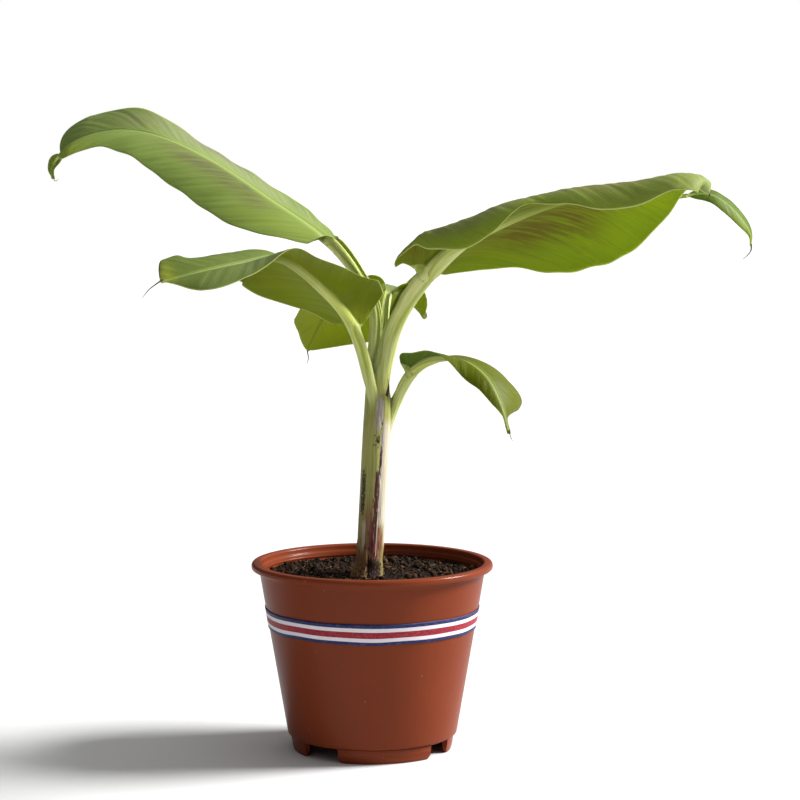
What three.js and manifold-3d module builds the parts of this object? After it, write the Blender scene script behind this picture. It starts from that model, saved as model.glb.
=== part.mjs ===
// Potted young banana plant: a plastic nursery pot filled with potting mix, a short
// pseudostem of wrapped leaf sheaths, and six leaves, each a tapering petiole and a
// thin blade with its midrib underneath. Millimetres, +Z up, the pot stands on z = 0.
import * as THREE from 'three';
import { mergeVertices } from 'three/addons/utils/BufferGeometryUtils.js';
import Module from 'manifold-3d';

const wasm = await Module();
wasm.setup();

// ---------------------------------------------------------------- driving dimensions
const GAP = 0.35;                 // clearance between neighbouring solids
const BEND_GAP = 1;               // clearance where a blade is divided at its bend
const POT_HEIGHT = 148.3;
const LIP_RADIUS = 95;            // outside of the rolled lip: a 19 cm pot
const LIP_DROP = 6.1;             // height of the lip's outer band
const MOUTH_RADIUS = 87.4;        // inner edge of the lip
const BODY_TOP_RADIUS = 88.9;     // outside of the wall just under the lip
const BODY_FOOT_RADIUS = 66.8;    // outside of the wall at the step above the feet
const FOOT_RADIUS = 64.3;
const FOOT_HEIGHT = 13;
const FOOT_DEPTH = 9;             // radial thickness of a foot
const FOOT_ARCS = [[246, 316], [337, 46], [67, 136], [157, 216]]; // degrees, from and to
const WALL = 1.8;
const FLOOR = 2.4;
const DRAIN_RADIUS = 4.5;
const DRAIN_RING = 38;
const DRAINS = 6;
const BAND_LOW = 96.9;            // the printed ribbon round the wall
const BAND_HIGH = 113.1;
const BAND_THICK = 0.5;
const SOIL_TOP = 136.6;
const FLOOR_FILLET = 5;           // height of the slope between the floor and the wall
const STEP_DEPTH = 2;             // the underside of the floor lies this far below the step
const LIP_ROUND = 1.8;            // rounding of the lip's upper edge
const LIP_CURL = 1.5;             // thickness of the lip's hanging outer band
const MIX_EDGE = 4;               // the mix meets the wall this far below its top
const SIDES = 36;                 // facets round the pot
const DRAIN_SIDES = 8;
const STEM_SIDES = 16;
const STALK_SIDES = 10;
const STALK_STEPS = 6;
const BLADE = 1.3;                // blade thickness
const BLADE_STEPS = 8;            // stations along each stretch of blade
const BLADE_COLUMNS = 4;          // strips across each half
const TIP_STEPS = 5;
const BEND_STEPS = 24;            // steps used to walk out along a half's bend
const BASE_ROUND = 0.1;           // share of the blade over which its base widens
const MARGIN = 0.6;               // least width of a half beyond its midrib
const KEEL = 0.9;                 // depth of the midrib below the blade, in stalk radii
const KEEL_FLANK = 0.15;
const MERGE = 1e-4;               // points nearer than this are one
const RIB_DIVISIONS = 600;
const TANGENT_REACH = 0.004;      // share of the rib used on either side to find its direction

// pseudostem stations: centre x, y, height, radius (flared at the soil)
const STEM = [
  [-3, 0, 136.95, 15.5], [-3, 0, 142, 13.6], [-2.6, 0, 150, 12.9], [-2, 0, 170, 12.1],
  [-1, 0, 195, 11.4], [1, 0, 228, 10.9], [4, 0, 264, 10.4],
];

// Each leaf: the line of its petiole and midrib, the compass heading of the plane it
// grows in, the stalk's thickness along it, where the petiole leaves the stem (exit),
// where the blade begins (from) and ends (to) and where it is divided at its bend
// (split). Each half gives, at even steps from the blade's base to its tip, its width,
// the angle it leaves the midrib at (rise), how far it turns over on the way to the
// margin (curl), and how far the margin runs forward (sweep). Roll turns the whole
// blade about its rib, and a tail is the narrow ribbon that some leaves end in.
const LEAVES = {
  leaf_a: {
    rib: [
      [4, 0, 252], [5, 4, 307], [2, 8, 341], [-11, 22, 372], [-38, 48, 402], [-83, 78, 433],
      [-129, 104, 461], [-171, 124, 489], [-208, 138, 501], [-241, 148, 493], [-262, 154, 472],
      [-270, 156, 458], [-268, 157, 447],
    ],
    heading: 151, roll: [0, 0, 0, 0, 0, 0], stalk: [13, 11, 10, 8, 5, 2], exit: 0.18, from: 0.34,
    to: 0.95, split: 0.5,
    tipFrom: 0.85, tipPower: 3, tipBlunt: 0.6,
    left: {
      width: [34, 46, 48, 46, 46, 48], rise: [-10, -15, -20, -15, -15, -15],
      curl: [-20, -30, -35, -35, -40, -40], sweep: [0, 0.1, 0.1, 0.1, 0.1, 0],
    },
    right: {
      width: [16, 34, 38, 36, 30, 20], rise: [-5, -5, -5, -5, -5, 0], curl: [0, 0, 20, 20, -10, -20],
      sweep: [0.1, 0.1, 0.1, 0.1, 0.1, 0.1], late: 1.5,
    },
    tail: {
      from: 0.95, to: 1, tipFrom: 0.5, roll: [30, 50, 70, 80, 90, 90],
      left: {
        width: [3, 5, 5, 4, 3, 2], rise: [0, 0, 0, 0, 0, 0], curl: [-30, -30, -30, -30, -30, -30],
        sweep: [0, 0, 0, 0, 0, 0],
      },
      right: {
        width: [3, 4, 4, 3, 3, 2], rise: [0, 0, 0, 0, 0, 0], curl: [-30, -30, -30, -30, -30, -30],
        sweep: [0, 0, 0, 0, 0, 0],
      },
    },
  },
  leaf_b: {
    rib: [
      [0, -6, 253], [-3, -9, 283], [-15, -22, 334], [-40, -48, 367], [-68, -78, 389], [-96, -104, 392],
      [-124, -122, 386], [-152, -132, 376],
    ],
    heading: 219, roll: [0, 0, 0, 0, 0, 0], stalk: [10, 8, 7, 6, 4, 2], exit: 0.13, from: 0.28, to: 1,
    split: 0.48,
    tipFrom: 0.85, tipPower: 2.5, tipBlunt: 0.5,
    left: {
      width: [34, 45, 44, 38, 28, 24], rise: [60, 55, 50, 25, -10, -20],
      curl: [-10, -40, -80, -80, -45, -40], sweep: [-0.25, -0.1, 0, 0.1, 0.1, 0.2],
    },
    right: {
      width: [14, 34, 44, 38, 28, 24], rise: [0, 0, 0, 20, 30, 30],
      curl: [-30, -40, -60, -60, -40, -40], sweep: [0, 0, 0.1, 0.1, 0.1, 0.2],
    },
  },
  leaf_c: {
    rib: [
      [5, 4, 252], [7, 13, 314], [9, 27, 343], [11, 48, 359], [-2, 76, 363], [-22, 104, 353],
      [-42, 124, 330], [-55, 132, 304],
    ],
    heading: 130, roll: [0, 0, 0, 0, 0, 0], stalk: [10, 8, 6, 5, 4, 2], exit: 0.4, from: 0.45, to: 1,
    split: 0.5,
    tipFrom: 0.6, tipPower: 2, tipBlunt: 0.7,
    left: {
      width: [30, 44, 50, 54, 44, 16], rise: [20, 20, 20, 10, 10, 0],
      curl: [-40, -60, -60, -60, -40, -20], sweep: [-0.3, 0, 0.1, 0.1, 0.1, 0.2],
    },
    right: {
      width: [42, 48, 52, 52, 44, 20], rise: [-10, 0, 0, -10, -10, -10],
      curl: [-40, -50, -50, -50, -40, -20], sweep: [-0.3, 0, 0.1, 0.1, 0.1, 0.2],
    },
  },
  leaf_d: {
    rib: [
      [5, 0, 252], [7, -2, 291], [16, -10, 331], [40, -34, 367], [69, -64, 398], [100, -92, 419],
      [130, -116, 433], [163, -140, 441], [199, -160, 447], [226, -172, 449], [240, -178, 440],
    ],
    heading: -37, roll: [0, 0, 0, 0, 0, 0], stalk: [14, 12, 11, 9, 5, 2], exit: 0.19, from: 0.34,
    to: 1, split: 0.48,
    tipFrom: 0.85, tipPower: 2.5, tipBlunt: 0.6,
    left: {
      width: [16, 28, 40, 50, 62, 70, 68, 58, 42, 22, 8],
      rise: [-10, -15, -20, -20, -20, -20, -20, -20, -20, -20, -10],
      curl: [-20, -40, -50, -60, -70, -70, -70, -70, -60, -50, -30],
      sweep: [0, 0, 0.1, 0.1, 0.1, 0.1, 0.1, 0.1, 0.1, 0.1, 0.2],
    },
    right: {
      width: [28, 48, 66, 64, 50, 40, 46, 50, 46, 38, 28],
      rise: [80, 75, 70, 60, 55, 50, 45, 40, 35, 30, 20],
      curl: [-40, -80, -120, -130, -110, -115, -125, -120, -110, -90, -60],
      sweep: [-0.1, 0, 0, 0.1, 0.1, 0.1, 0.1, 0.1, 0.1, 0.2, 0.2],
    },
  },
  leaf_e: {
    rib: [
      [9, 4, 220], [12, 4, 255], [20, -2, 282], [34, -16, 301], [53, -34, 311], [72, -54, 311],
      [88, -70, 300], [98, -82, 281], [104, -88, 259],
    ],
    heading: -44, roll: [0, 0, 0, 0, 0, 0], stalk: [9, 8, 7, 5, 4, 2], exit: 0.28, from: 0.38, to: 1,
    split: 0.48,
    tipFrom: 0.95, tipPower: 2.5, tipBlunt: 0.6,
    left: {
      width: [14, 17, 20, 22, 24, 28, 33, 35, 25, 4, 2], rise: [30, 25, 20, 15, 10, 5, 0, 0, 0, 0, 0],
      curl: [-40, -40, -40, -40, -40, -40, -40, -40, -40, -30, -20],
      sweep: [-0.2, -0.1, 0, 0.1, 0.1, 0.1, 0.1, 0.1, 0.1, 0.2, 0.2],
    },
    right: {
      width: [14, 16, 18, 18, 18, 17, 15, 12, 8, 3, 2],
      rise: [50, 52, 50, 35, 20, 0, -10, -10, -10, -10, -10],
      curl: [-20, -25, -30, -35, -40, -40, -40, -40, -40, -30, -20],
      sweep: [-0.25, -0.1, 0, 0.1, 0.1, 0.1, 0.1, 0.1, 0.1, 0.2, 0.2],
    },
  },
  leaf_f: {
    rib: [
      [5, 4, 252], [10, 8, 300], [26, 20, 340], [62, 46, 374], [119, 78, 401], [185, 100, 420],
      [252, 118, 432], [276, 122, 434], [291, 123, 425], [303, 124, 411], [311, 124, 398],
      [312, 124, 388], [306, 124, 378],
    ],
    heading: 20, roll: [0, 0, 0, 0, 20, 60], stalk: [12, 10, 8, 6, 4, 2], exit: 0.24, from: 0.42,
    to: 0.83, split: 0.5,
    tipFrom: 0.6, tipPower: 2.2, tipBlunt: 0.8,
    left: {
      width: [20, 24, 24, 20, 12, 5], rise: [20, 20, 10, 0, 0, 0],
      curl: [-40, -60, -60, -60, -40, -20], sweep: [0.1, 0.1, 0.1, 0.1, 0.1, 0.1],
    },
    right: {
      width: [20, 24, 24, 20, 12, 5], rise: [20, 20, 10, 0, 0, 0],
      curl: [-40, -60, -60, -60, -40, -20], sweep: [0.1, 0.1, 0.1, 0.1, 0.1, 0.1],
    },
    tail: {
      from: 0.83, to: 1, tipFrom: 0.4, roll: [60, 60, 60, 60, 60, 60],
      left: {
        width: [3, 7, 9, 10, 8, 4], rise: [0, 0, 0, 0, 0, 0], curl: [-30, -30, -30, -30, -30, -30],
        sweep: [0, 0, 0, 0, 0, 0],
      },
      right: {
        width: [3, 7, 9, 10, 8, 4], rise: [0, 0, 0, 0, 0, 0], curl: [-30, -30, -30, -30, -30, -30],
        sweep: [0, 0, 0, 0, 0, 0],
      },
    },
  },
};

// ---------------------------------------------------------------- materials
const terracotta = new THREE.MeshStandardMaterial({ color: 0xa5502f, roughness: 0.42, metalness: 0 });
const ribbonPrint = new THREE.MeshStandardMaterial({ color: 0xf0f0ee, roughness: 0.5, metalness: 0 });
const mix = new THREE.MeshStandardMaterial({ color: 0x33221a, roughness: 1, metalness: 0 });
const sheath = new THREE.MeshStandardMaterial({ color: 0xa2a45c, roughness: 0.55, metalness: 0 });
const stalkGreen = new THREE.MeshStandardMaterial({ color: 0xa3b350, roughness: 0.5, metalness: 0 });
const bladeGreen = new THREE.MeshStandardMaterial({ color: 0x5f7f2c, roughness: 0.5, metalness: 0 });

// ---------------------------------------------------------------- helpers
const plant = new THREE.Group();

function add(name, geometry, material) {
  const mesh = new THREE.Mesh(geometry, material);
  mesh.name = name;
  plant.add(mesh);
  return mesh;
}

// A closed body through a stack of rings with the same number of points each.
function loft(rings) {
  const n = rings[0].length;
  const position = [];
  const index = [];
  rings.forEach((ring) => ring.forEach((p) => position.push(p.x, p.y, p.z)));
  for (let i = 0; i < rings.length - 1; i++) {
    for (let j = 0; j < n; j++) {
      const a = i * n + j, b = i * n + (j + 1) % n, c = a + n, d = b + n;
      index.push(a, b, d, a, d, c);
    }
  }
  const cap = (start, flip) => {
    const outline = [];
    const centre = new THREE.Vector3();
    for (let j = 0; j < n; j++) centre.add(new THREE.Vector3().fromArray(position, (start + j) * 3));
    centre.divideScalar(n);
    // the cap is triangulated in the plane that the ring's area vector gives
    const area = new THREE.Vector3();
    for (let j = 0; j < n; j++) {
      const p = new THREE.Vector3().fromArray(position, (start + j) * 3).sub(centre);
      const q = new THREE.Vector3().fromArray(position, (start + (j + 1) % n) * 3).sub(centre);
      area.add(p.cross(q));
    }
    area.normalize();
    const x = new THREE.Vector3(1, 0, 0);
    if (Math.abs(area.x) > 0.8) x.set(0, 1, 0);
    x.addScaledVector(area, -x.dot(area)).normalize();
    const y = new THREE.Vector3().crossVectors(area, x);
    for (let j = 0; j < n; j++) {
      const p = new THREE.Vector3().fromArray(position, (start + j) * 3).sub(centre);
      outline.push(new THREE.Vector2(p.dot(x), p.dot(y)));
    }
    for (const [a, b, c] of THREE.ShapeUtils.triangulateShape(outline, [])) {
      if (flip) index.push(start + a, start + c, start + b);
      else index.push(start + a, start + b, start + c);
    }
  };
  cap(0, true);
  cap((rings.length - 1) * n, false);
  const geometry = new THREE.BufferGeometry();
  geometry.setAttribute('position', new THREE.Float32BufferAttribute(position, 3));
  geometry.setIndex(index);
  if (volume(geometry) < 0) turnOver(geometry);
  return geometry;
}

function volume(geometry) {
  const p = geometry.getAttribute('position');
  const index = geometry.getIndex();
  const a = new THREE.Vector3(), b = new THREE.Vector3(), c = new THREE.Vector3();
  let sum = 0;
  for (let i = 0; i < index.count; i += 3) {
    a.fromBufferAttribute(p, index.getX(i));
    b.fromBufferAttribute(p, index.getX(i + 1));
    c.fromBufferAttribute(p, index.getX(i + 2));
    sum += a.dot(b.cross(c)) / 6;
  }
  return sum;
}

function turnOver(geometry) {
  const index = geometry.getIndex();
  for (let i = 0; i < index.count; i += 3) {
    const swap = index.getX(i + 1);
    index.setX(i + 1, index.getX(i + 2));
    index.setX(i + 2, swap);
  }
}

function solid(geometry) {
  let g = geometry.clone();
  g.deleteAttribute('normal');
  g.deleteAttribute('uv');
  g = mergeVertices(g, MERGE);
  if (volume(g) < 0) turnOver(g);
  return new wasm.Manifold(new wasm.Mesh({
    numProp: 3,
    vertProperties: new Float32Array(g.getAttribute('position').array),
    triVerts: new Uint32Array(g.getIndex().array),
  }));
}

function geometryOf(manifold) {
  const mesh = manifold.getMesh();
  const geometry = new THREE.BufferGeometry();
  geometry.setAttribute('position', new THREE.Float32BufferAttribute(mesh.vertProperties, 3));
  geometry.setIndex([...mesh.triVerts]);
  return geometry;
}

// Turned shapes: LatheGeometry spins about Y, so it is stood up on Z.
function turned(profile, sides = SIDES) {
  const points = profile.map(([r, z]) => new THREE.Vector2(r, z));
  const geometry = new THREE.LatheGeometry(points, sides);
  geometry.rotateX(Math.PI / 2);
  return geometry;
}

// Values given at even steps of 0..1, joined smoothly.
function along(values, t) {
  const n = values.length;
  const s = Math.min(Math.max(t, 0), 1) * (n - 1);
  const i = Math.min(Math.floor(s), n - 2);
  const f = s - i;
  const b = values[i], c = values[i + 1];
  const a = i > 0 ? values[i - 1] : 2 * b - c;
  const d = i < n - 2 ? values[i + 2] : 2 * c - b;
  const second = 2 * a - 5 * b + 4 * c - d;
  const third = 3 * b - a - 3 * c + d;
  return 0.5 * (2 * b + (c - a) * f + second * f * f + third * f * f * f);
}

const radians = THREE.MathUtils.degToRad;

function ribOf(leaf) {
  const points = leaf.rib.map((p) => new THREE.Vector3(...p));
  const curve = new THREE.CatmullRomCurve3(points, false, 'catmullrom', 0.5);
  curve.arcLengthDivisions = RIB_DIVISIONS;
  return curve;
}

// Position and axes at a place on the rib: forward, to the leaf's left, and up from the upper face.
function station(leaf, curve, u, rolled = 0) {
  const at = curve.getPointAt(Math.min(Math.max(u, 0), 1));
  const ahead = curve.getPointAt(Math.min(u + TANGENT_REACH, 1));
  const behind = curve.getPointAt(Math.max(u - TANGENT_REACH, 0));
  const forward = ahead.sub(behind).normalize();
  const h = radians(leaf.heading);
  const left = new THREE.Vector3(-Math.sin(h), Math.cos(h), 0);
  left.addScaledVector(forward, -left.dot(forward)).normalize();
  const up = new THREE.Vector3().crossVectors(forward, left);
  left.applyAxisAngle(forward, radians(rolled));
  up.applyAxisAngle(forward, radians(rolled));
  return { at, forward, left, up };
}

// A petiole's section: round below, with a shallow channel along its upper side.
function limbRing(leaf, curve, u) {
  const { at, left, up } = station(leaf, curve, u);
  const r = along(leaf.stalk, Math.min(u / leaf.to, 1)) / 2;
  const ring = [];
  for (let i = 0; i < STALK_SIDES; i++) {
    const a = Math.PI / 2 + (2 * Math.PI * i) / STALK_SIDES;
    const lift = i === 0 ? 0.3 : 0.85 * Math.sin(a);
    ring.push(at.clone().addScaledVector(left, r * Math.cos(a)).addScaledVector(up, r * lift));
  }
  return ring;
}

function limb(leaf, from, to) {
  const curve = ribOf(leaf);
  const rings = [];
  for (let i = 0; i <= STALK_STEPS; i++) {
    rings.push(limbRing(leaf, curve, from + ((to - from) * i) / STALK_STEPS));
  }
  return loft(rings);
}

function outlineWidth(blade, half, t) {
  const rise = Math.sqrt(Math.max(0, 1 - (1 - Math.min(t / BASE_ROUND, 1)) ** 2));
  const x = Math.min(Math.max((t - blade.tipFrom) / (1 - blade.tipFrom), 0), 1);
  return along(half.width, t) * rise * (1 - x ** blade.tipPower) ** blade.tipBlunt;
}

// The middle surface of one half at distance x from the rib, found by walking out along its bend.
function reach(blade, half, side, t, frame, width, x, stalk) {
  const k = half.late ?? 1;
  let lateral = 0, lift = 0;
  const goal = (BEND_STEPS * x) / width;
  for (let i = 0; i < BEND_STEPS; i++) {
    const part = Math.min(Math.max(goal - i, 0), 1);
    if (part === 0) break;
    const v = (i + 0.5) / BEND_STEPS;
    const phi = radians(along(half.rise, t) + along(half.curl, t) * v ** k);
    lateral += (Math.cos(phi) * width * part) / BEND_STEPS;
    lift += (Math.sin(phi) * width * part) / BEND_STEPS;
  }
  const free = Math.max(0, (x - 2 * stalk) / Math.max(width - 2 * stalk, 1));
  const sweep = along(half.sweep, t) * width * free ** 1.2;
  return frame.at.clone()
    .addScaledVector(frame.left, side * lateral)
    .addScaledVector(frame.up, lift)
    .addScaledVector(frame.forward, sweep);
}

// A thin closed blade from t0 to t1 with its midrib standing out underneath.
function bladeSolid(blade, t0, t1, steps) {
  const curve = ribOf(blade);
  const middles = [];
  const radii = [];
  for (let i = 0; i <= steps; i++) {
    const t = t0 + (t1 - t0) * (i / steps);
    const u = blade.from + (blade.to - blade.from) * t;
    const frame = station(blade, curve, u, along(blade.roll, t));
    const r = along(blade.stalk, Math.min(u / blade.ribEnd, 1)) / 2;
    const row = [];
    for (const side of [1, -1]) {
      const half = side === 1 ? blade.left : blade.right;
      const width = Math.max(outlineWidth(blade, half, t), r * 1.3 + MARGIN);
      const places = [r];
      for (let j = 1; j <= BLADE_COLUMNS; j++) places.push(r + ((width - r) * j) / BLADE_COLUMNS);
      const points = places.map((x) => reach(blade, half, side, t, frame, width, x, r));
      if (side === 1) row.push(...points.reverse(), frame.at.clone());
      else row.push(...points);
    }
    middles.push(row);
    radii.push(r);
  }
  const n = middles[0].length;
  const centre = (n - 1) / 2;
  const rings = middles.map((row, i) => {
    const before = middles[Math.max(i - 1, 0)];
    const after = middles[Math.min(i + 1, middles.length - 1)];
    const normals = row.map((p, j) => {
      const lengthwise = after[j].clone().sub(before[j]);
      const crosswise = row[Math.max(j - 1, 0)].clone().sub(row[Math.min(j + 1, n - 1)]);
      return lengthwise.cross(crosswise).normalize();
    });
    const top = row.map((p, j) => p.clone().addScaledVector(normals[j], BLADE / 2));
    const bottom = row.map((p, j) => {
      const depth = [KEEL, KEEL_FLANK][Math.abs(j - centre)] ?? 0;
      return p.clone().addScaledVector(normals[j], -BLADE / 2 - depth * radii[i]);
    });
    return [...top, ...bottom.reverse()];
  });
  return loft(rings);
}

// ---------------------------------------------------------------- pot
const wallTop = POT_HEIGHT - LIP_DROP;
const underFloor = FOOT_HEIGHT - STEP_DEPTH;
const floorTop = underFloor + FLOOR;
const mixEdge = SOIL_TOP - MIX_EDGE;

// Outside radius of the sloping wall at a height.
function wallRadius(z) {
  const f = (z - FOOT_HEIGHT) / (wallTop - FOOT_HEIGHT);
  return BODY_FOOT_RADIUS + (BODY_TOP_RADIUS - BODY_FOOT_RADIUS) * f;
}

const potBody = turned([
  [0, underFloor], [FOOT_RADIUS, underFloor], [FOOT_RADIUS, FOOT_HEIGHT], [BODY_FOOT_RADIUS, FOOT_HEIGHT],
  [wallRadius(wallTop - 3), wallTop - 3],
  [wallRadius(wallTop), wallTop + 2.2],
  [LIP_RADIUS - LIP_CURL - 0.4, wallTop + 2.6], [LIP_RADIUS - LIP_CURL, wallTop],
  [LIP_RADIUS - 0.2, wallTop], [LIP_RADIUS, POT_HEIGHT - LIP_ROUND], [LIP_RADIUS - LIP_ROUND, POT_HEIGHT],
  [MOUTH_RADIUS + 1.2, POT_HEIGHT], [MOUTH_RADIUS, POT_HEIGHT - 1.4],
  [MOUTH_RADIUS - 0.5, POT_HEIGHT - 4.6], [MOUTH_RADIUS - 1.6, POT_HEIGHT - 5],
  [wallRadius(mixEdge) - WALL, mixEdge],
  [BODY_FOOT_RADIUS - WALL, floorTop + FLOOR_FILLET], [BODY_FOOT_RADIUS - WALL - 3, floorTop],
  [0, floorTop],
]);

let pot = solid(potBody);
for (const [fromDegrees, toDegrees] of FOOT_ARCS) {
  const a = radians(fromDegrees);
  const b = radians(toDegrees < fromDegrees ? toDegrees + 360 : toDegrees);
  const shape = new THREE.Shape();
  shape.absarc(0, 0, FOOT_RADIUS - 0.2, a, b, false);
  shape.absarc(0, 0, FOOT_RADIUS - FOOT_DEPTH, b, a, true);
  const settings = { depth: underFloor + 0.8, bevelEnabled: false, curveSegments: 4 };
  const foot = new THREE.ExtrudeGeometry(shape, settings);
  pot = pot.add(solid(foot));
}
for (let i = 0; i < DRAINS; i++) {
  const a = (2 * Math.PI * (i + 0.5)) / DRAINS;
  const drill = new THREE.CylinderGeometry(DRAIN_RADIUS, DRAIN_RADIUS, FOOT_HEIGHT, DRAIN_SIDES);
  drill.rotateX(Math.PI / 2);
  drill.translate(DRAIN_RING * Math.cos(a), DRAIN_RING * Math.sin(a), FOOT_HEIGHT);
  pot = pot.subtract(solid(drill));
}
add('pot', geometryOf(pot), terracotta);

add('ribbon_band', turned([
  [wallRadius(BAND_LOW) + GAP, BAND_LOW], [wallRadius(BAND_LOW) + GAP + BAND_THICK, BAND_LOW],
  [wallRadius(BAND_HIGH) + GAP + BAND_THICK, BAND_HIGH], [wallRadius(BAND_HIGH) + GAP, BAND_HIGH],
  [wallRadius(BAND_LOW) + GAP, BAND_LOW],
]), ribbonPrint);

// ---------------------------------------------------------------- potting mix
const mixFloor = floorTop + GAP;
const mixSide = wallRadius(mixEdge) - WALL;
add('potting_mix', turned([
  [0, mixFloor], [BODY_FOOT_RADIUS - WALL - 3.6, mixFloor],
  [BODY_FOOT_RADIUS - WALL - GAP - 0.4, floorTop + FLOOR_FILLET],
  [mixSide - GAP - 0.1, mixEdge], [mixSide - 1, SOIL_TOP - 1.2],
  [70, SOIL_TOP + 0.8], [45, SOIL_TOP - 0.8], [24, SOIL_TOP], [0, SOIL_TOP],
]), mix);

// ---------------------------------------------------------------- stem with the foot of each petiole
const trunkRings = STEM.map(([x, y, z, r]) => {
  const ring = [];
  for (let i = 0; i < STEM_SIDES; i++) {
    const a = (2 * Math.PI * i) / STEM_SIDES;
    ring.push(new THREE.Vector3(x + r * Math.cos(a), y + r * Math.sin(a), z));
  }
  return ring;
});
let stem = solid(loft(trunkRings));
for (const leaf of Object.values(LEAVES)) {
  stem = stem.add(solid(limb(leaf, 0, leaf.exit)));
}
add('pseudostem', geometryOf(stem), sheath);

// ---------------------------------------------------------------- leaves
for (const [name, leaf] of Object.entries(LEAVES)) {
  const length = ribOf(leaf).getLength();
  leaf.ribEnd = leaf.to;
  const step = GAP / length;
  add(`${name}_petiole`, limb(leaf, leaf.exit + step, leaf.from), stalkGreen);
  const clear = (2 * step) / (leaf.to - leaf.from);
  const bend = (0.5 * BEND_GAP) / length / (leaf.to - leaf.from);
  add(`${name}_blade_inner`, bladeSolid(leaf, clear, leaf.split - bend, BLADE_STEPS), bladeGreen);
  add(`${name}_blade_outer`, bladeSolid(leaf, leaf.split + bend, 1, BLADE_STEPS), bladeGreen);
  if (leaf.tail) {
    const tail = { ...leaf, ...leaf.tail };
    add(`${name}_tip`, bladeSolid(tail, 0.06, 0.97, TIP_STEPS), bladeGreen);
  }
}

// The origin is the middle of the plant's box, on the ground.
const box = new THREE.Box3().setFromObject(plant);
plant.position.set(-(box.min.x + box.max.x) / 2, -(box.min.y + box.max.y) / 2, 0);
plant.updateMatrixWorld(true);

export default plant;
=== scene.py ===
"""The looks of the potted young banana plant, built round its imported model.

Shapes are worked out in millimetres about the pot's own axis, with z up from the ground,
and are moved into the model's frame in metres when each piece is made.
"""
import math
import random

import bmesh
import bpy
import numpy as np
from mathutils import Euler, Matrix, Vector, noise


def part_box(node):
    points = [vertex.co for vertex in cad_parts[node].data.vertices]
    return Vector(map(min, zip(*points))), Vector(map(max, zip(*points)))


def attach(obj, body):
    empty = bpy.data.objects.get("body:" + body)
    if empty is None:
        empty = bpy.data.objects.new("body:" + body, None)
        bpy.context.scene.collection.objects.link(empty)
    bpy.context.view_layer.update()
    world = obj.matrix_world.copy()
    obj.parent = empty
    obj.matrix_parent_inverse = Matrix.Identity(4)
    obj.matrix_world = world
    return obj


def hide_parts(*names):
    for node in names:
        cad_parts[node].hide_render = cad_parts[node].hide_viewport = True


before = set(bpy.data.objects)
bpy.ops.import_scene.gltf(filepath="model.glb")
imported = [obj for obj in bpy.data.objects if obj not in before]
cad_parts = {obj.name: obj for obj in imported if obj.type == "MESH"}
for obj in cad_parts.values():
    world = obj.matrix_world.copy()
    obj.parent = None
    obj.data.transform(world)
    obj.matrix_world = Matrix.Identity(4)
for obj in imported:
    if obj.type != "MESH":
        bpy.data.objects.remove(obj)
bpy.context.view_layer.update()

MM = 0.001
SEED = 11
rng = np.random.default_rng(SEED)
random.seed(SEED)


# ------------------------------------------------------------------ places from the model
def box_mm(node):
    """The lowest and highest corner of a node's box."""
    low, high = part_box(node)
    return np.array(low) / MM, np.array(high) / MM


POT_LOW, POT_HIGH = box_mm("pot")
AXIS = np.array([(POT_LOW[0] + POT_HIGH[0]) / 2, (POT_LOW[1] + POT_HIGH[1]) / 2, 0])
POT_HEIGHT = POT_HIGH[2]
LIP_RADIUS = (POT_HIGH[0] - POT_LOW[0]) / 2
BAND_LOW, BAND_HIGH = box_mm("ribbon_band")[0][2], box_mm("ribbon_band")[1][2]
MIX_TOP = box_mm("potting_mix")[1][2]
STEM_FOOT = box_mm("pseudostem")[0][2]

# The pot, in millimetres. Insets are from the lip's outer radius, heights from the ground.
LIP_WIDTH = 7.6
LIP_DROP = 6.1
WALL_TOP_INSET = 6.1
WALL_FOOT_INSET = 28.2
SKIRT_INSET = 30.7
FOOT_HEIGHT = 13.0             # where the wall ends and the skirt of feet begins
WALL = 1.8
WALL_TOP = POT_HEIGHT - LIP_DROP
RADIUS_TOP = LIP_RADIUS - WALL_TOP_INSET
RADIUS_FOOT = LIP_RADIUS - WALL_FOOT_INSET
FOOT_RADIUS = LIP_RADIUS - SKIRT_INSET
FLOOR_UNDER = FOOT_HEIGHT - 2
FLOOR_TOP = FOOT_HEIGHT + .4
FLOOR_RINGS = (30, 46)         # radii of the rings of points on the flat floor
INNER_RIDGES = (8.6, 12.2, 15.4)  # how far below the top each ridge of the inner wall stands
TURN_SEGMENTS = 180
FOOT_ARCS = ((246, 316), (337, 406), (67, 136), (157, 216))  # degrees, 270 is the front
DRAINS = 6
DRAIN_RING = 38.0
DRAIN_RADIUS = 4.5

STEM_SUNK = 3                  # how far the stem's foot reaches into the mix
STEM_END = 300
# Pseudostem stations: centre x and y, height above the ground and radius.
STEM = np.array((
    (-2.2, 0, STEM_FOOT - STEM_SUNK, 12.2), (-2.2, 0, 141, 10.8), (-1.9, 0, 150, 10.2), (-.7, 0, 170, 9.6),
    (.5, 0, 195, 9.4), (2.1, 0, 228, 9.6), (3.7, 0, 252, 9.9), (4.8, 0, 268, 9.9), (5.4, 0, 285, 8.6),
    (6, 0, STEM_END, 6.5)))


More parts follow.
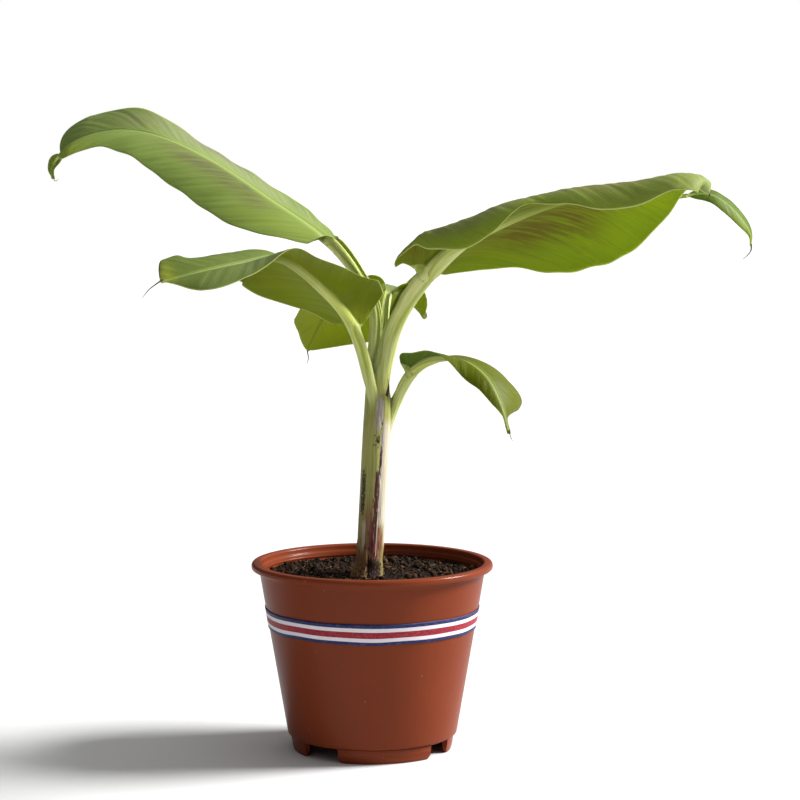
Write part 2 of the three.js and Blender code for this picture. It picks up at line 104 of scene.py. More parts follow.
# ------------------------------------------------------------------ leaves
# rib: the line of stalk and midrib. heading: compass direction of the leaf. stalk: its thickness
# along the rib. base, tip: where on the rib the blade begins and ends. Each half gives its width,
# the angle it leaves the rib at, how far it turns over towards the margin and how far the margin
# runs forward, at even steps from the blade's base to its tip. sheath: how the stalk's foot wraps
# the stem, from its lowest and highest heights on the stem to the blade: its compass direction, how
# far it stands off the stem, the first rib point kept above it, the half width of each wing and the
# stalk's half thickness at even steps, and the stretch over which it opens from a wrap to a channel.
# taper: where along the blade it starts to narrow to its tip, how late and how bluntly it does so.
# unfurl: the stretch over which the blade opens out of the channel. shoulder: the stretch over which
# a half widens at its base; corner gives that a squarer shape. roll: how the blade turns about its
# rib. slant: how far the side veins lean forward. edge: how pale the margin is. tail: the narrow
# ribbon that some leaves end in.
LEAVES = {
    "leaf_a": dict(
        rib=((4, 0, 252), (5, 4, 307), (2, 8, 341), (-11, 22, 372), (-38, 48, 402), (-83, 78, 432),
             (-129, 104, 461), (-171, 124, 480), (-208, 138, 487), (-241, 148, 481), (-261, 154, 467),
             (-269, 156, 455), (-268, 157, 446)),
        heading=151, stalk=(13, 11, 10, 8, 5, 2), base=.34, tip=.95, taper=(.9, 2.5, .5), unfurl=(0, .05),
        slant=.9, edge=.25, stain=(94, 82, 62),
        left=dict(width=(14, 44, 46, 41, 32, 46), rise=(-10, -15, -20, -15, -10, -10),
                  curl=(-20, -30, -35, -35, -35, -40), sweep=(-.1, .1, .1, .1, .1, 0), shoulder=.08),
        right=dict(width=(11, 20, 30, 36, 38, 38, 35, 31, 34, 42, 50),
                   rise=(5, 2, 0, -4, -5, -5, 1, 23, 33, 42, 50),
                   curl=(0, 0, 0, 0, 0, 0, 0, 0, 0, -20, -10), sweep=(.1,) * 6),
        sheath=dict(azimuth=170, low=225, top=290, lift=.2, keep=2, free=(.2, .42),
                    left=(12, 12, 11, 10.5, 9, 7.5, 6.5, 6), right=(12, 12, 11, 9, 7, 6, 6, 6),
                    thick=(1, 1.5, 3, 4, 4.2, 4, 3.9)),
        tail=dict(base=.95, tip=1, taper=(.5, 2.5, .6), roll=(30, 50, 70, 80, 90, 90),
                  left=dict(width=(3, 5, 5, 4, 3, 2), rise=(0, 0), curl=(-30, -30), sweep=(0, 0)),
                  right=dict(width=(3, 4, 4, 3, 3, 2), rise=(0, 0), curl=(-30, -30), sweep=(0, 0))),
    ),
    "leaf_b": dict(
        rib=((0, -6, 253), (-3, -9, 283), (-15, -22, 334), (-40, -48, 367), (-68, -78, 389),
             (-96, -104, 387), (-124, -122, 382), (-152, -132, 375)),
        heading=219, stalk=(10, 8, 7, 6, 4, 2), base=.28, tip=1, taper=(.97, 3, .4), unfurl=(0, .05),
        slant=.6, edge=.5, stain=(104, 92, 30),
        left=dict(width=(33, 36, 40, 33, 25, 24, 23, 23, 22, 15, 11),
                  rise=(95, 80, 54, 43, 40, 40, 20, 0, -15, -20, -20),
                  curl=(-15, -35, -45, -38, -38, -45, -50, -48, -44, -36, -30),
                  sweep=(-.1, -.05, 0, .1, .25, .35, .5, .4, .35, .2, .1), shoulder=.07, corner=.9,
                  taper=(.86, 1.6, 1)),
        right=dict(width=(14, 26, 36, 44, 50, 50, 48, 42, 34, 30, 26),
                   rise=(0, 0, -5, -5, 0, 42, 45, 45, 42, 40, 38),
                   curl=(-30, -35, -40, -50, -60, -150, -125, -100, -70, -40, -25),
                   sweep=(0, 0, .1, .1, .1, .1, .1, .1, .05, -.1, -.2)),
        sheath=dict(azimuth=222, low=146, top=284, lift=.5, keep=2, free=(.6, .82),
                    left=(13, 13, 13.5, 14, 15, 16, 15.5, 11, 7, 5.5, 5),
                    right=(18, 18, 17, 16, 15, 13, 11, 8, 6, 5.5, 5),
                    thick=(1, 1, 1, 1, 1.2, 1.6, 2.4, 3.3, 3.6, 3.5, 3.3)),
    ),
    "leaf_c": dict(
        rib=((5, 4, 252), (7, 13, 314), (9, 27, 343), (11, 48, 359), (-2, 76, 363), (-22, 104, 353),
             (-42, 124, 330), (-55, 132, 304)),
        heading=130, stalk=(10, 8, 6, 5, 4, 2), base=.45, tip=1, taper=(.7, 2, .7),
        slant=.5, edge=.3, stain=(110, 110, 30),
        left=dict(width=(30, 44, 52, 53, 35, 18), rise=(20, 20, 20, 10, 5, 0),
                  curl=(-40, -60, -60, -50, -35, -10), sweep=(-.3, 0, .1, .1, .1, .2)),
        right=dict(width=(42, 48, 52, 52, 44, 20), rise=(-10, 0, 0, -10, -10, -10),
                   curl=(-40, -50, -50, -50, -40, -20), sweep=(-.3, 0, .1, .1, .1, .2)),
        sheath=dict(azimuth=110, low=235, top=290, lift=0, keep=2, free=(.1, .5), left=(9, 8, 6, 5),
                    right=(9, 8, 6, 5), thick=(1, 2, 3, 3.2)),
    ),
    "leaf_d": dict(
        rib=((5, 0, 252), (9, -2, 291), (18, -10, 331), (38, -34, 368), (67, -64, 399),
             (99, -92, 418), (130, -116, 431), (163, -140, 439), (199, -160, 445),
             (226, -172, 451), (240, -177, 449), (241, -178, 440)),
        heading=-37, stalk=(14, 12, 11, 9, 5, 2), base=.34, tip=1, taper=(.88, 2.5, .6), unfurl=(0, .025),
        slant=1.0, edge=.85, stain=(94, 70, 24),
        left=dict(width=(16, 28, 42, 56, 64, 65, 61, 50, 31, 9, 5),
                  rise=(-10, -15, -20, -20, -20, -20, -20, -20, -20, -20, -10),
                  curl=(-20, -40, -50, -60, -70, -70, -70, -70, -60, -50, -30),
                  sweep=(0, 0, .1, .1, .1, .1, .1, .1, .1, .1, .2)),
        right=dict(width=(45, 47, 59, 71, 64, 42, 46, 50, 46, 38, 30),
                   rise=(58, 92, 52, 37, 39, 34, 37, 33, 32, 30, 25),
                   curl=(-80, -148, -114, -110, -111, -72, -92, -103, -108, -95, -70),
                   sweep=(-.1, 0, 0, .1, .1, .1, .1, .1, .1, .1, .1), shoulder=.06),
        sheath=dict(azimuth=-40, low=205, top=292, lift=.1, keep=2, free=(.42, .62),
                    left=(12, 12, 12, 11, 9, 7, 7, 7, 7), right=(14, 15, 15, 15, 14, 11, 9, 8, 7),
                    thick=(1, 1, 1.2, 2, 3.4, 4.6, 5, 4.9, 4.7)),
    ),
    "leaf_e": dict(
        rib=((9, 4, 220), (15, 4, 255), (23, -2, 282), (35, -16, 301), (53, -34, 311),
             (72, -54, 311), (88, -70, 300), (98, -82, 281), (104, -88, 259)),
        heading=-44, stalk=(9, 8, 7, 5, 4, 2), base=.38, tip=1, taper=(.95, 2.5, .6), unfurl=(0, .03),
        slant=.7, edge=.15, stain=(96, 98, 40),
        left=dict(width=(14, 17, 20, 22, 26, 34, 41, 43, 32, 5, 2),
                  rise=(30, 25, 20, 15, 10, 5, 0, 0, 0, 0, 0),
                  curl=(-40, -40, -40, -40, -40, -40, -40, -40, -40, -30, -20),
                  sweep=(-.2, -.1, 0, .1, .1, .1, .1, .1, .1, .2, .2)),
        right=dict(width=(19, 12.5, 10.5, 12, 15, 16, 15, 12, 8, 3, 2),
                   rise=(80, 72, 60, 40, 20, 0, -10, -10, -10, -10, -10),
                   curl=(-10, -20, -30, -35, -40, -40, -40, -40, -40, -30, -20),
                   sweep=(.25, .15, .1, .1, .1, .1, .1, .1, .1, .2, .2), shoulder=.02),
        sheath=dict(azimuth=5, low=146, top=253, lift=.1, keep=2, free=(.62, .84),
                    left=(12, 12, 12, 12, 12, 12, 11, 7, 4.5),
                    right=(11, 11.5, 11.5, 11.5, 11.5, 11, 9, 6, 4.5),
                    thick=(1, 1, 1, 1, 1, 1.2, 2.2, 3, 3.0)),
    ),
    "leaf_f": dict(
        rib=((5, 4, 252), (6, 10, 300), (16, 28, 335), (40, 50, 370), (102, 77, 402), (185, 100, 420),
             (252, 118, 432), (276, 122, 434), (291, 123, 426), (303, 124, 414), (311, 124, 402),
             (312, 124, 391)),
        heading=20, stalk=(12, 10, 8, 6, 4, 2), base=.42, tip=.83, taper=(.6, 2.2, .8),
        slant=.8, edge=.12, stain=(100, 98, 50),
        roll=(0, 0, 0, 0, 20, 60),
        left=dict(width=(20, 24, 24, 20, 12, 5), rise=(20, 20, 10, 0, 0, 0),
                  curl=(-40, -60, -60, -60, -40, -20), sweep=(.1,) * 6),
        right=dict(width=(20, 24, 24, 20, 12, 5), rise=(20, 20, 10, 0, 0, 0),
                   curl=(-40, -60, -60, -60, -40, -20), sweep=(.1,) * 6),
        sheath=dict(azimuth=60, low=235, top=285, lift=-.1, keep=2, free=(.1, .4), left=(9, 7, 6, 5),
                    right=(9, 7, 6, 5), thick=(1, 2.4, 3.2, 3)),
        tail=dict(base=.83, tip=1, taper=(.5, 2.2, .8), roll=(50, 50),
                  left=dict(width=(3, 7, 12, 15, 17, 9), rise=(0, 0), curl=(-30, -30), sweep=(0, 0)),
                  right=dict(width=(3, 7, 9, 9, 8, 4), rise=(0, 0), curl=(-30, -30), sweep=(0, 0))),
    ),
}


# ------------------------------------------------------------------ small mathematics
def smooth(x, low=0.0, high=1.0):
    """0 below low, 1 above high, and an even S between."""
    s = np.clip((np.asarray(x, float) - low) / (high - low), 0, 1)
    return s * s * (3 - 2 * s)


def spline(points, u):
    """Catmull-Rom through evenly spaced points, at shares u of 0..1."""
    p = np.asarray(points, float)
    count = len(p)
    p = np.concatenate([[2 * p[0] - p[1]], p, [2 * p[-1] - p[-2]]])
    s = np.clip(np.asarray(u, float), 0, 1) * (count - 1)
    i = np.minimum(s.astype(int), count - 2)
    f = (s - i).reshape(s.shape + (1,) * (p.ndim - 1))
    a, b, c, d = p[i], p[i + 1], p[i + 2], p[i + 3]
    return 0.5 * (2 * b + (c - a) * f + (2 * a - 5 * b + 4 * c - d) * f**2 + (3 * b - a - 3 * c + d) * f**3)


def unit(v):
    """Vectors at length 1."""
    return v / np.maximum(np.linalg.norm(v, axis=-1, keepdims=True), 1e-9)


def waves(x, wavelengths, seed):
    """A sum of sines with random phases, about -1..1."""
    phases = np.random.default_rng(seed).uniform(0, 2 * math.pi, len(wavelengths))
    return sum(np.sin(2 * math.pi * x / w + p) for w, p in zip(wavelengths, phases)) / len(wavelengths) ** 0.5


class Line:
    """A smooth line through points, measured by its length."""

    def __init__(self, points):
        self.points = spline(points, np.linspace(0, 1, 800))
        steps = np.linalg.norm(np.diff(self.points, axis=0), axis=1)
        self.run = np.concatenate([[0], np.cumsum(steps)])
        self.length = self.run[-1]

    def at(self, u):
        s = np.clip(u, 0, 1) * self.length
        return np.stack([np.interp(s, self.run, self.points[:, k]) for k in range(3)], -1)

    def forward(self, u, step=0.004):
        return unit(self.at(np.asarray(u) + step) - self.at(np.asarray(u) - step))


# ------------------------------------------------------------------ meshes
class Shape:
    """Points in millimetres about the pot's axis, faces as arrays of corners, and values at points."""

    def __init__(self, points, faces, flat=(), material=0, **values):
        self.points = np.asarray(points, float).reshape(-1, 3)
        self.smooth_faces = [np.asarray(f, int) for f in faces]
        self.flat_faces = [np.asarray(f, int) for f in flat]
        self.material = material
        self.values = {k: np.asarray(v, float).reshape(len(self.points), -1) for k, v in values.items()}
        if self.volume() < 0:
            self.smooth_faces = [f[:, ::-1] for f in self.smooth_faces]
            self.flat_faces = [f[:, ::-1] for f in self.flat_faces]

    def volume(self):
        total = 0.0
        for f in self.smooth_faces + self.flat_faces:
            for k in range(1, f.shape[1] - 1):
                a, b, c = self.points[f[:, 0]], self.points[f[:, k]], self.points[f[:, k + 1]]
                total += np.einsum("ij,ij->i", a, np.cross(b, c)).sum()
        return total


def grid(rows, columns, wrap=False, start=0):
    """Quads between points given row by row; wrap joins the last column to the first."""
    r = np.arange(rows - 1)[:, None] * columns
    c = np.arange(columns if wrap else columns - 1)[None]
    n = (c + 1) % columns
    return start + np.stack([r + c, r + n, r + columns + n, r + columns + c], -1).reshape(-1, 4)


def ringed(points, flip=False, **values):
    """A closed shape from rows of points that each run round it, with a flat face over each end."""
    rows, sides = points.shape[:2]
    first = np.arange(sides)[None]
    caps = [first, (first + (rows - 1) * sides)[:, ::-1]]
    if flip:
        caps = [face[:, ::-1] for face in caps]
    return Shape(points, [grid(rows, sides, wrap=True)], caps, **values)


def round_sheet(above, below):
    """Rows that run along the upper face of a thin sheet and back along the lower one."""
    return np.concatenate([above, below[:, ::-1]], 1)


def thin_sheet(above, below, **values):
    """A closed thin sheet between two faces, with its ends filled strip by strip."""
    points = round_sheet(above, below)
    rows, ring = points.shape[:2]
    j = np.arange(ring // 2 - 1)
    first = np.stack([j, j + 1, ring - 2 - j, ring - 1 - j], -1)
    last = (first + (rows - 1) * ring)[:, ::-1]
    return Shape(points, [grid(rows, ring, wrap=True)], [first, last], **values)


def both_halves(left, right):
    """Lists of values on two halves, joined into rows that run from the left margin to the right one."""
    return [np.concatenate([a[:, ::-1], b[:, 1:]], 1) for a, b in zip(left, right)]


def make(name, shapes, materials, replaces=()):
    """Joins shapes into one piece that rides on the plant's body."""
    mesh = bpy.data.meshes.new(name)
    starts = np.cumsum([0] + [len(s.points) for s in shapes])
    points = np.concatenate([s.points for s in shapes])
    mesh.vertices.add(len(points))
    mesh.vertices.foreach_set("co", ((points + AXIS) * MM).astype(np.float32).ravel())
    corners, sizes, flats, slots = [], [], [], []
    for shape, start in zip(shapes, starts):
        for faces, flat in [(f, False) for f in shape.smooth_faces] + [(f, True) for f in shape.flat_faces]:
            corners.append((faces + start).ravel())
            sizes.append(np.full(len(faces), faces.shape[1]))
            flats.append(np.full(len(faces), flat))
            slots.append(np.full(len(faces), shape.material))
    corners, sizes = np.concatenate(corners), np.concatenate(sizes)
    mesh.loops.add(len(corners))
    mesh.loops.foreach_set("vertex_index", corners.astype(np.int32))
    mesh.polygons.add(len(sizes))
    mesh.polygons.foreach_set("loop_start", (np.cumsum(sizes) - sizes).astype(np.int32))
    mesh.polygons.foreach_set("use_smooth", ~np.concatenate(flats))
    mesh.polygons.foreach_set("material_index", np.concatenate(slots).astype(np.int32))
    for key in shapes[0].values:
        value = np.concatenate([s.values[key] for s in shapes]).astype(np.float32)
        kind, field = ("FLOAT", "value") if value.shape[1] == 1 else ("FLOAT_VECTOR", "vector")
        mesh.attributes.new(key, kind, "POINT").data.foreach_set(field, value.ravel())
    mesh.update(calc_edges=True)
    mesh.validate()
    for material in materials:
        mesh.materials.append(material)
    piece = bpy.data.objects.new(name, mesh)
    bpy.context.scene.collection.objects.link(piece)
    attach(piece, "root")
    if replaces:
        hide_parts(*replaces)
    return piece


def tube(line, radii, sides=8, squash=1.0, **values):
    """A closed tapering tube along a Line; radii are spread evenly along it."""
    steps = max(4, int(line.length / max(0.6, 1.2 * min(radii))))
    steps = min(steps, 60)
    u = np.linspace(0, 1, steps + 1)
    ahead = line.forward(u)
    across = unit(np.cross(ahead, [0.31, 0.17, 0.93]))
    above = np.cross(across, ahead)
    r = np.maximum(spline(radii, u), 0.02)[:, None, None]
    a = np.linspace(0, 2 * math.pi, sides, endpoint=False)[None, :, None]
    ring = line.at(u)[:, None] + r * (np.cos(a) * across[:, None] + squash * np.sin(a) * above[:, None])
    count = (steps + 1) * sides
    points = np.concatenate([ring.reshape(-1, 3), line.at(np.array([0, 1]))])
    side = np.arange(sides)
    turn = (side + 1) % sides
    caps = [np.stack([turn, side, np.full(sides, count)], -1),
            np.stack([side + count - sides, turn + count - sides, np.full(sides, count + 1)], -1)]
    spread = {k: np.broadcast_to(np.asarray(v, float), (len(points), np.size(v))) for k, v in values.items()}
    return Shape(points, [grid(steps + 1, sides, wrap=True), *caps], **spread)


# ------------------------------------------------------------------ materials
VEIN_SPACING = 7.2       # between a blade's main side veins, mm
FINE_VEIN_SPACING = 1.7
VEIN_OFFSET = 500        # keeps the veins' places above 0
RIBBON_THREADS = 26      # across the ribbon's width


def srgb(red, green, blue):
    """A colour given as 0..255 screen values, as the linear colour that shaders take."""
    return tuple(((c / 255 + 0.055) / 1.055) ** 2.4 if c > 10 else c / 255 / 12.92
                 for c in (red, green, blue)) + (1.0,)


class Nodes:
    """Short forms for building a material's nodes. Every value may be a number, a colour or a socket."""

    def __init__(self, name):
        self.material = bpy.data.materials.new(name)
        self.material.use_nodes = True
        self.tree = self.material.node_tree
        self.shader = self.tree.nodes["Principled BSDF"]

    def set(self, socket, value):
        if isinstance(value, bpy.types.NodeSocket):
            self.tree.links.new(value, socket)
        else:
            socket.default_value = value

    def node(self, kind, inputs=(), **settings):
        made = self.tree.nodes.new(kind)
        for key, value in settings.items():
            setattr(made, key, value)
        for key, value in dict(inputs).items():
            self.set(made.inputs[key], value)
        return made

    def math(self, operation, a, b=0.0, clamp=False):
        made = self.node("ShaderNodeMath", {0: a, 1: b}, operation=operation, use_clamp=clamp)
        return made.outputs[0]

    def times(self, a, b):
        return self.math("MULTIPLY", a, b)

    def plus(self, a, b, clamp=False):
        return self.math("ADD", a, b, clamp)

    def rest(self, share):
        """What a share leaves of 1."""
        return self.math("SUBTRACT", 1, share)

    def ripple(self, value, spacing):
        """A sine along a value."""
        return self.math("SINE", self.times(value, 2 * math.pi / spacing))

    def stretched(self, x, x_scale, y, y_scale, z=0.0):
        """A place whose x and y are scaled apart, so that noise there is drawn out."""
        return self.vector(self.times(x, x_scale), self.times(y, y_scale), z)

    def mix(self, share, a, b, blend="MIX"):
        made = self.node("ShaderNodeMix", data_type="RGBA", blend_type=blend)
        self.set(made.inputs["Factor"], share)
        self.set(made.inputs[6], a)
        self.set(made.inputs[7], b)
        return made.outputs[2]

    def step(self, value, low, high, out_low=0.0, out_high=1.0):
        """A smooth step of value from out_low to out_high."""
        inputs = {"Value": value, "From Min": low, "From Max": high, "To Min": out_low, "To Max": out_high}
        return self.node("ShaderNodeMapRange", inputs, interpolation_type="SMOOTHSTEP").outputs[0]

    def vector(self, x, y, z=0.0):
        return self.node("ShaderNodeCombineXYZ", {0: x, 1: y, 2: z}).outputs[0]

    def attribute(self, name):
        """The three numbers of a mesh attribute."""
        read = self.node("ShaderNodeAttribute", attribute_name=name)
        return self.node("ShaderNodeSeparateXYZ", {0: read.outputs["Vector"]}).outputs

    def number(self, name):
        """The single number of a mesh attribute."""
        return self.node("ShaderNodeAttribute", attribute_name=name).outputs["Fac"]

    def place(self):
        """The place on the piece, in metres."""
        return self.node("ShaderNodeTexCoord").outputs["Object"]

    def noise(self, where, scale, detail=3.0, rough=0.55):
        inputs = {"Vector": where, "Scale": scale, "Detail": detail, "Roughness": rough}
        return self.node("ShaderNodeTexNoise", inputs).outputs["Fac"]

    def bump(self, height, distance, strength):
        inputs = {"Height": height, "Distance": distance, "Strength": strength}
        return self.node("ShaderNodeBump", inputs).outputs[0]

    def finish(self, colour, roughness, normal=None, **fixed):
        self.set(self.shader.inputs["Base Color"], colour)
        self.set(self.shader.inputs["Roughness"], roughness)
        if normal is not None:
            self.set(self.shader.inputs["Normal"], normal)
        for key, value in fixed.items():
            self.shader.inputs[key.replace("_", " ")].default_value = value
        return self.material


def stalk_body(n):
    """Colour of stalks and of the midrib's base, in clouds of yellow green, and their long fibres, with
    painted shade that darkens the wings and the upper face.
    """
    run, across, _ = n.attribute("leaf")
    near, _, below = n.attribute("rib")
    fibres = n.step(n.noise(n.stretched(run, .012, across, .8, below), 1, 4, .6), .34, .66)
    clouds = n.noise(n.stretched(run, .013, across, .3, below), 1, 3)
    body = n.mix(fibres, srgb(192, 200, 104), srgb(146, 160, 62))
    body = n.mix(n.step(clouds, .38, .7, 0, .7), body, srgb(220, 222, 164))
    # painted shade: darker green out on the wings, away from the rib
    body = n.mix(n.step(near, .8, 1.7, 0, .4), body, srgb(114, 132, 44))
    # painted shade: the upper face darker green
    return n.mix(n.times(n.rest(below), .6), body, srgb(106, 124, 44)), fibres


def blade_material(name, upper, under, stain, glow, edge):
    """A leaf blade: the attribute leaf holds vein place, distance from the rib and distance from the
    margin in millimetres; rib holds the distance from the rib in stalk radii, the place along the
    blade and 1 on the underside; marks holds where it is stained, glowing, and greyed by a real dusting with
    a painted sky sheen."""
    n = Nodes(name)
    vein, across, margin = n.attribute("leaf")
    near, along, below = n.attribute("rib")
    stained, glowing, dust_and_sheen_share = n.attribute("marks")
    wander = n.noise(n.stretched(vein, .05, across, .03, below), 1, 3)
    vein_place = n.plus(vein, n.times(wander, 2.0))

    def along_veins(fineness, length, seed, detail=4):
        """Streaks that follow the side veins, about 1/fineness and 1/length millimetres in size."""
        return n.noise(n.stretched(vein_place, fineness, across, length, seed), 1, detail, .6)

    fine = n.ripple(vein_place, FINE_VEIN_SPACING)
    main = n.math("PINGPONG", n.plus(vein_place, VEIN_OFFSET), VEIN_SPACING / 2)
    main_line = n.step(main, .7, 0)
    streaks, threads = along_veins(.38, .018, below), along_veins(1.1, .03, 5, 3)
    clouds = n.noise(n.stretched(vein, .035, across, .03, below), 1, 4)
    body = n.mix(below, upper, under)
    darker = n.mix(1, body, (.62, .66, .55, 1), "MULTIPLY")
    lighter = n.mix(1, body, (1.25, 1.2, 1.2, 1), "MULTIPLY")
    body = n.mix(n.step(clouds, .3, .7, 0, .5), body, darker)
    body = n.mix(n.times(glowing, n.step(clouds, .2, .6, .6, 1)), body, glow)
    body = n.mix(n.step(streaks, .42, .68, 0, .3), body, darker)
    body = n.mix(n.step(threads, .45, .7, 0, .3), body, lighter)
    body = n.mix(n.times(main_line, .14), body, lighter)
    body = n.mix(n.step(fine, .2, 1, 0, .06), body, darker)
    blots = along_veins(.22, .035, 8, 5)
    patch = n.times(stained, n.step(n.plus(blots, n.times(threads, .5)), .58, .82))
    body = n.mix(n.times(patch, .85), body, stain)
    # a real dusting together with a painted grey sheen of sky light: greyer where the patches lie, and
    # rougher
    dust_and_sheen = n.times(dust_and_sheen_share, n.step(streaks, .35, .75, .4, 1))
    body = n.mix(n.times(dust_and_sheen, .6), body, srgb(122, 124, 104))
    # the midrib: a band with a pale line in its groove above, a paler keel below
    stalk, _ = stalk_body(n)
    band = n.mix(.4, body, srgb(130, 148, 68))
    keel = n.mix(n.step(along, .1, .6), stalk, n.mix(.5, body, srgb(132, 146, 56)))
    rib_colour = n.mix(below, n.mix(n.step(along, 0, .08), stalk, band), keel)
    reach = n.math("SUBTRACT", near, n.step(along, 0, .035, 3, 0))
    body = n.mix(n.step(reach, 1.5, .8), body, rib_colour)
    groove = n.times(n.step(near, .42, .1), n.rest(below))
    body = n.mix(n.times(groove, .4), body, srgb(160, 172, 108))
    body = n.mix(n.step(margin, 1.0, .35, 0, edge), body, srgb(190, 194, 124))
    relief = n.plus(n.times(fine, .35), n.times(main_line, n.step(below, 0, 1, -1, 1)))
    grain = n.noise(n.place(), 900, 2)
    height = n.plus(relief, n.times(grain, .5))
    rough = n.plus(n.step(streaks, .3, .7, .42, .56), n.times(dust_and_sheen, .15), clamp=True)
    return n.finish(body, rough, n.bump(height, .00010, .8), Subsurface_Weight=.12, Subsurface_Scale=.003,
                    Subsurface_Radius=(.5, .8, .15), Specular_IOR_Level=.11)


def trunk_colours(n):
    """Colour, roughness and relief of the wrapped sheaths of the stem."""
    maroon, dark, pink = n.attribute("stains")
    cream, tan, grey = n.attribute("wraps")
    turn, height, _ = n.attribute("stem")

    def streaks(across, up, detail, seed):
        return n.step(n.noise(n.stretched(turn, across, height, up, seed), 1, detail, .62), .3, .7)

    broad, fibres, fine = streaks(.5, .012, 4, 1), streaks(1.3, .025, 5, 2), streaks(3.4, .06, 4, 3)
    blots, specks = streaks(.7, .12, 6, 4), streaks(1.3, .42, 6, 5)
    body = n.mix(broad, srgb(160, 164, 84), srgb(128, 126, 54))
    body = n.mix(n.times(fine, .4), body, srgb(182, 178, 120))
    body = n.mix(n.step(fibres, .55, 1, 0, .45), body, srgb(112, 100, 62))

    def lay(body, mask, texture, gaps, colour):
        left = n.math("SUBTRACT", n.times(mask, 1.35), n.times(texture, gaps))
        return n.mix(n.step(left, 0, .4), body, colour)

    warm = n.times(n.step(height, 222, 150), n.step(blots, 0, 1, .25, .75))
    body = n.mix(warm, body, n.mix(fine, srgb(150, 108, 76), srgb(124, 92, 62)))
    body = lay(body, tan, fibres, 1.0, n.mix(fine, srgb(158, 122, 84), srgb(122, 88, 60)))
    body = lay(body, cream, fine, .75, n.mix(fibres, srgb(206, 200, 182), srgb(178, 164, 134)))
    body = lay(body, grey, fine, 1.25, n.mix(fibres, srgb(212, 204, 208), srgb(120, 104, 116)))
    lines = streaks(1.9, .02, 3, 2)
    striped = n.times(grey, n.step(lines, .5, .8, 0, .8))
    body = n.mix(striped, body, srgb(86, 70, 66))
    body = lay(body, pink, blots, 1.3, n.mix(fibres, srgb(138, 66, 66), srgb(104, 44, 48)))
    body = lay(body, maroon, blots, 1.35, n.mix(fine, srgb(86, 38, 44), srgb(60, 26, 32)))
    body = lay(body, dark, specks, 1.3, n.mix(fine, srgb(62, 32, 26), srgb(26, 13, 10)))
    spots = n.step(n.noise(n.vector(turn, n.times(height, .9), 9), 2.2, 2, .5), .70, .76)
    body = n.mix(n.times(spots, n.step(broad, .2, .8, .2, 1)), body, srgb(70, 48, 34))
    rough = n.plus(n.step(fine, 0, 1, .36, .5), n.times(n.math("MAXIMUM", dark, tan), .25))
    relief = n.plus(fibres, n.times(fine, .7))
    return body, rough, relief


def stem_material():
    """The stem, as trunk_colours paints it."""
    n = Nodes("stem_sheaths")
    body, rough, relief = trunk_colours(n)
    return n.finish(body, rough, n.bump(relief, .00045, .8), Subsurface_Weight=.06, Subsurface_Scale=.003,
                    Subsurface_Radius=(.9, .7, .3), Specular_IOR_Level=.25)


def stalk_material(name):
    """A leaf stalk with pale edges; its foot looks as the stem does."""
    n = Nodes(name)
    _, across, margin = n.attribute("leaf")
    gathered = n.number("gathered")
    body, fibres = stalk_body(n)
    body = n.mix(n.step(margin, 1.2, .4, 0, .35), body, srgb(172, 178, 104))
    trunk, _, relief = trunk_colours(n)
    stem_edge = n.mix(n.step(margin, .9, .3, 0, .6), trunk, srgb(210, 198, 170))
    opened = n.step(n.plus(gathered, n.step(fibres, 0, 1, -.15, .15)), .05, .6)
    body = n.mix(opened, stem_edge, body)
    lines = n.ripple(n.plus(across, fibres), .9)
    height = n.plus(n.plus(n.times(lines, .4), fibres), relief)
    return n.finish(body, n.step(fibres, 0, 1, .38, .48), n.bump(height, .00022, .6), Subsurface_Weight=.1,
                    Subsurface_Scale=.004, Subsurface_Radius=(.6, .9, .2), Specular_IOR_Level=.2)


def pot_material():
    """Satin injection-moulded plastic with turning marks, faint scuffs, a dusting round the foot, painted
    shade on the inner wall and painted highlights on the lip's top and along the foot's step.
    """
    n = Nodes("terracotta_plastic")
    turn, height, inside = n.attribute("wall")
    place = n.place()
    clouds = n.noise(place, 14, 3)
    scuffs = n.noise(n.stretched(turn, .02, height, .3), 1, 5, .7)
    marks = n.noise(place, 160, 4, .7)
    body = n.mix(n.step(clouds, .3, .7), srgb(114, 44, 16), srgb(106, 40, 14))
    body = n.mix(n.step(marks, .66, .8, 0, .2), body, srgb(150, 90, 70))
    worn = n.times(n.step(height, 2 * FOOT_HEIGHT, 4), n.step(scuffs, .4, .7, .1, .5))
    body = n.mix(worn, body, srgb(128, 70, 46))
    # painted shade: the inner wall darker, standing in for the shade inside the pot
    body = n.mix(n.times(inside, .45), body, srgb(84, 40, 26))
    flecks = n.step(n.noise(place, 420, 1, .5), .80, .84)
    # painted highlight: the top of the rolled lip lighter, standing in for sky light on its rounded top
    lip = n.times(n.step(height, 141.2, 142.6), n.rest(inside))
    body = n.mix(n.times(lip, .7), body, srgb(150, 84, 62))
    # painted highlight: a light line along the step where the wall meets the feet
    from_step = n.math("ABSOLUTE", n.math("SUBTRACT", height, FOOT_HEIGHT + .6))
    body = n.mix(n.times(n.step(from_step, 1.1, .4), .5), body, srgb(168, 104, 78))
    body = n.mix(n.times(flecks, .5), body, srgb(190, 160, 146))
    relief = n.plus(n.times(n.ripple(height, 1.4), .1), n.times(marks, .5))
    rough = n.plus(n.step(scuffs, .3, .7, .34, .44), n.times(worn, .2))
    return n.finish(body, rough, n.bump(relief, .00012, .5), Specular_IOR_Level=.04, Coat_Weight=.17,
                    Coat_Roughness=.15, Coat_IOR=1.45)


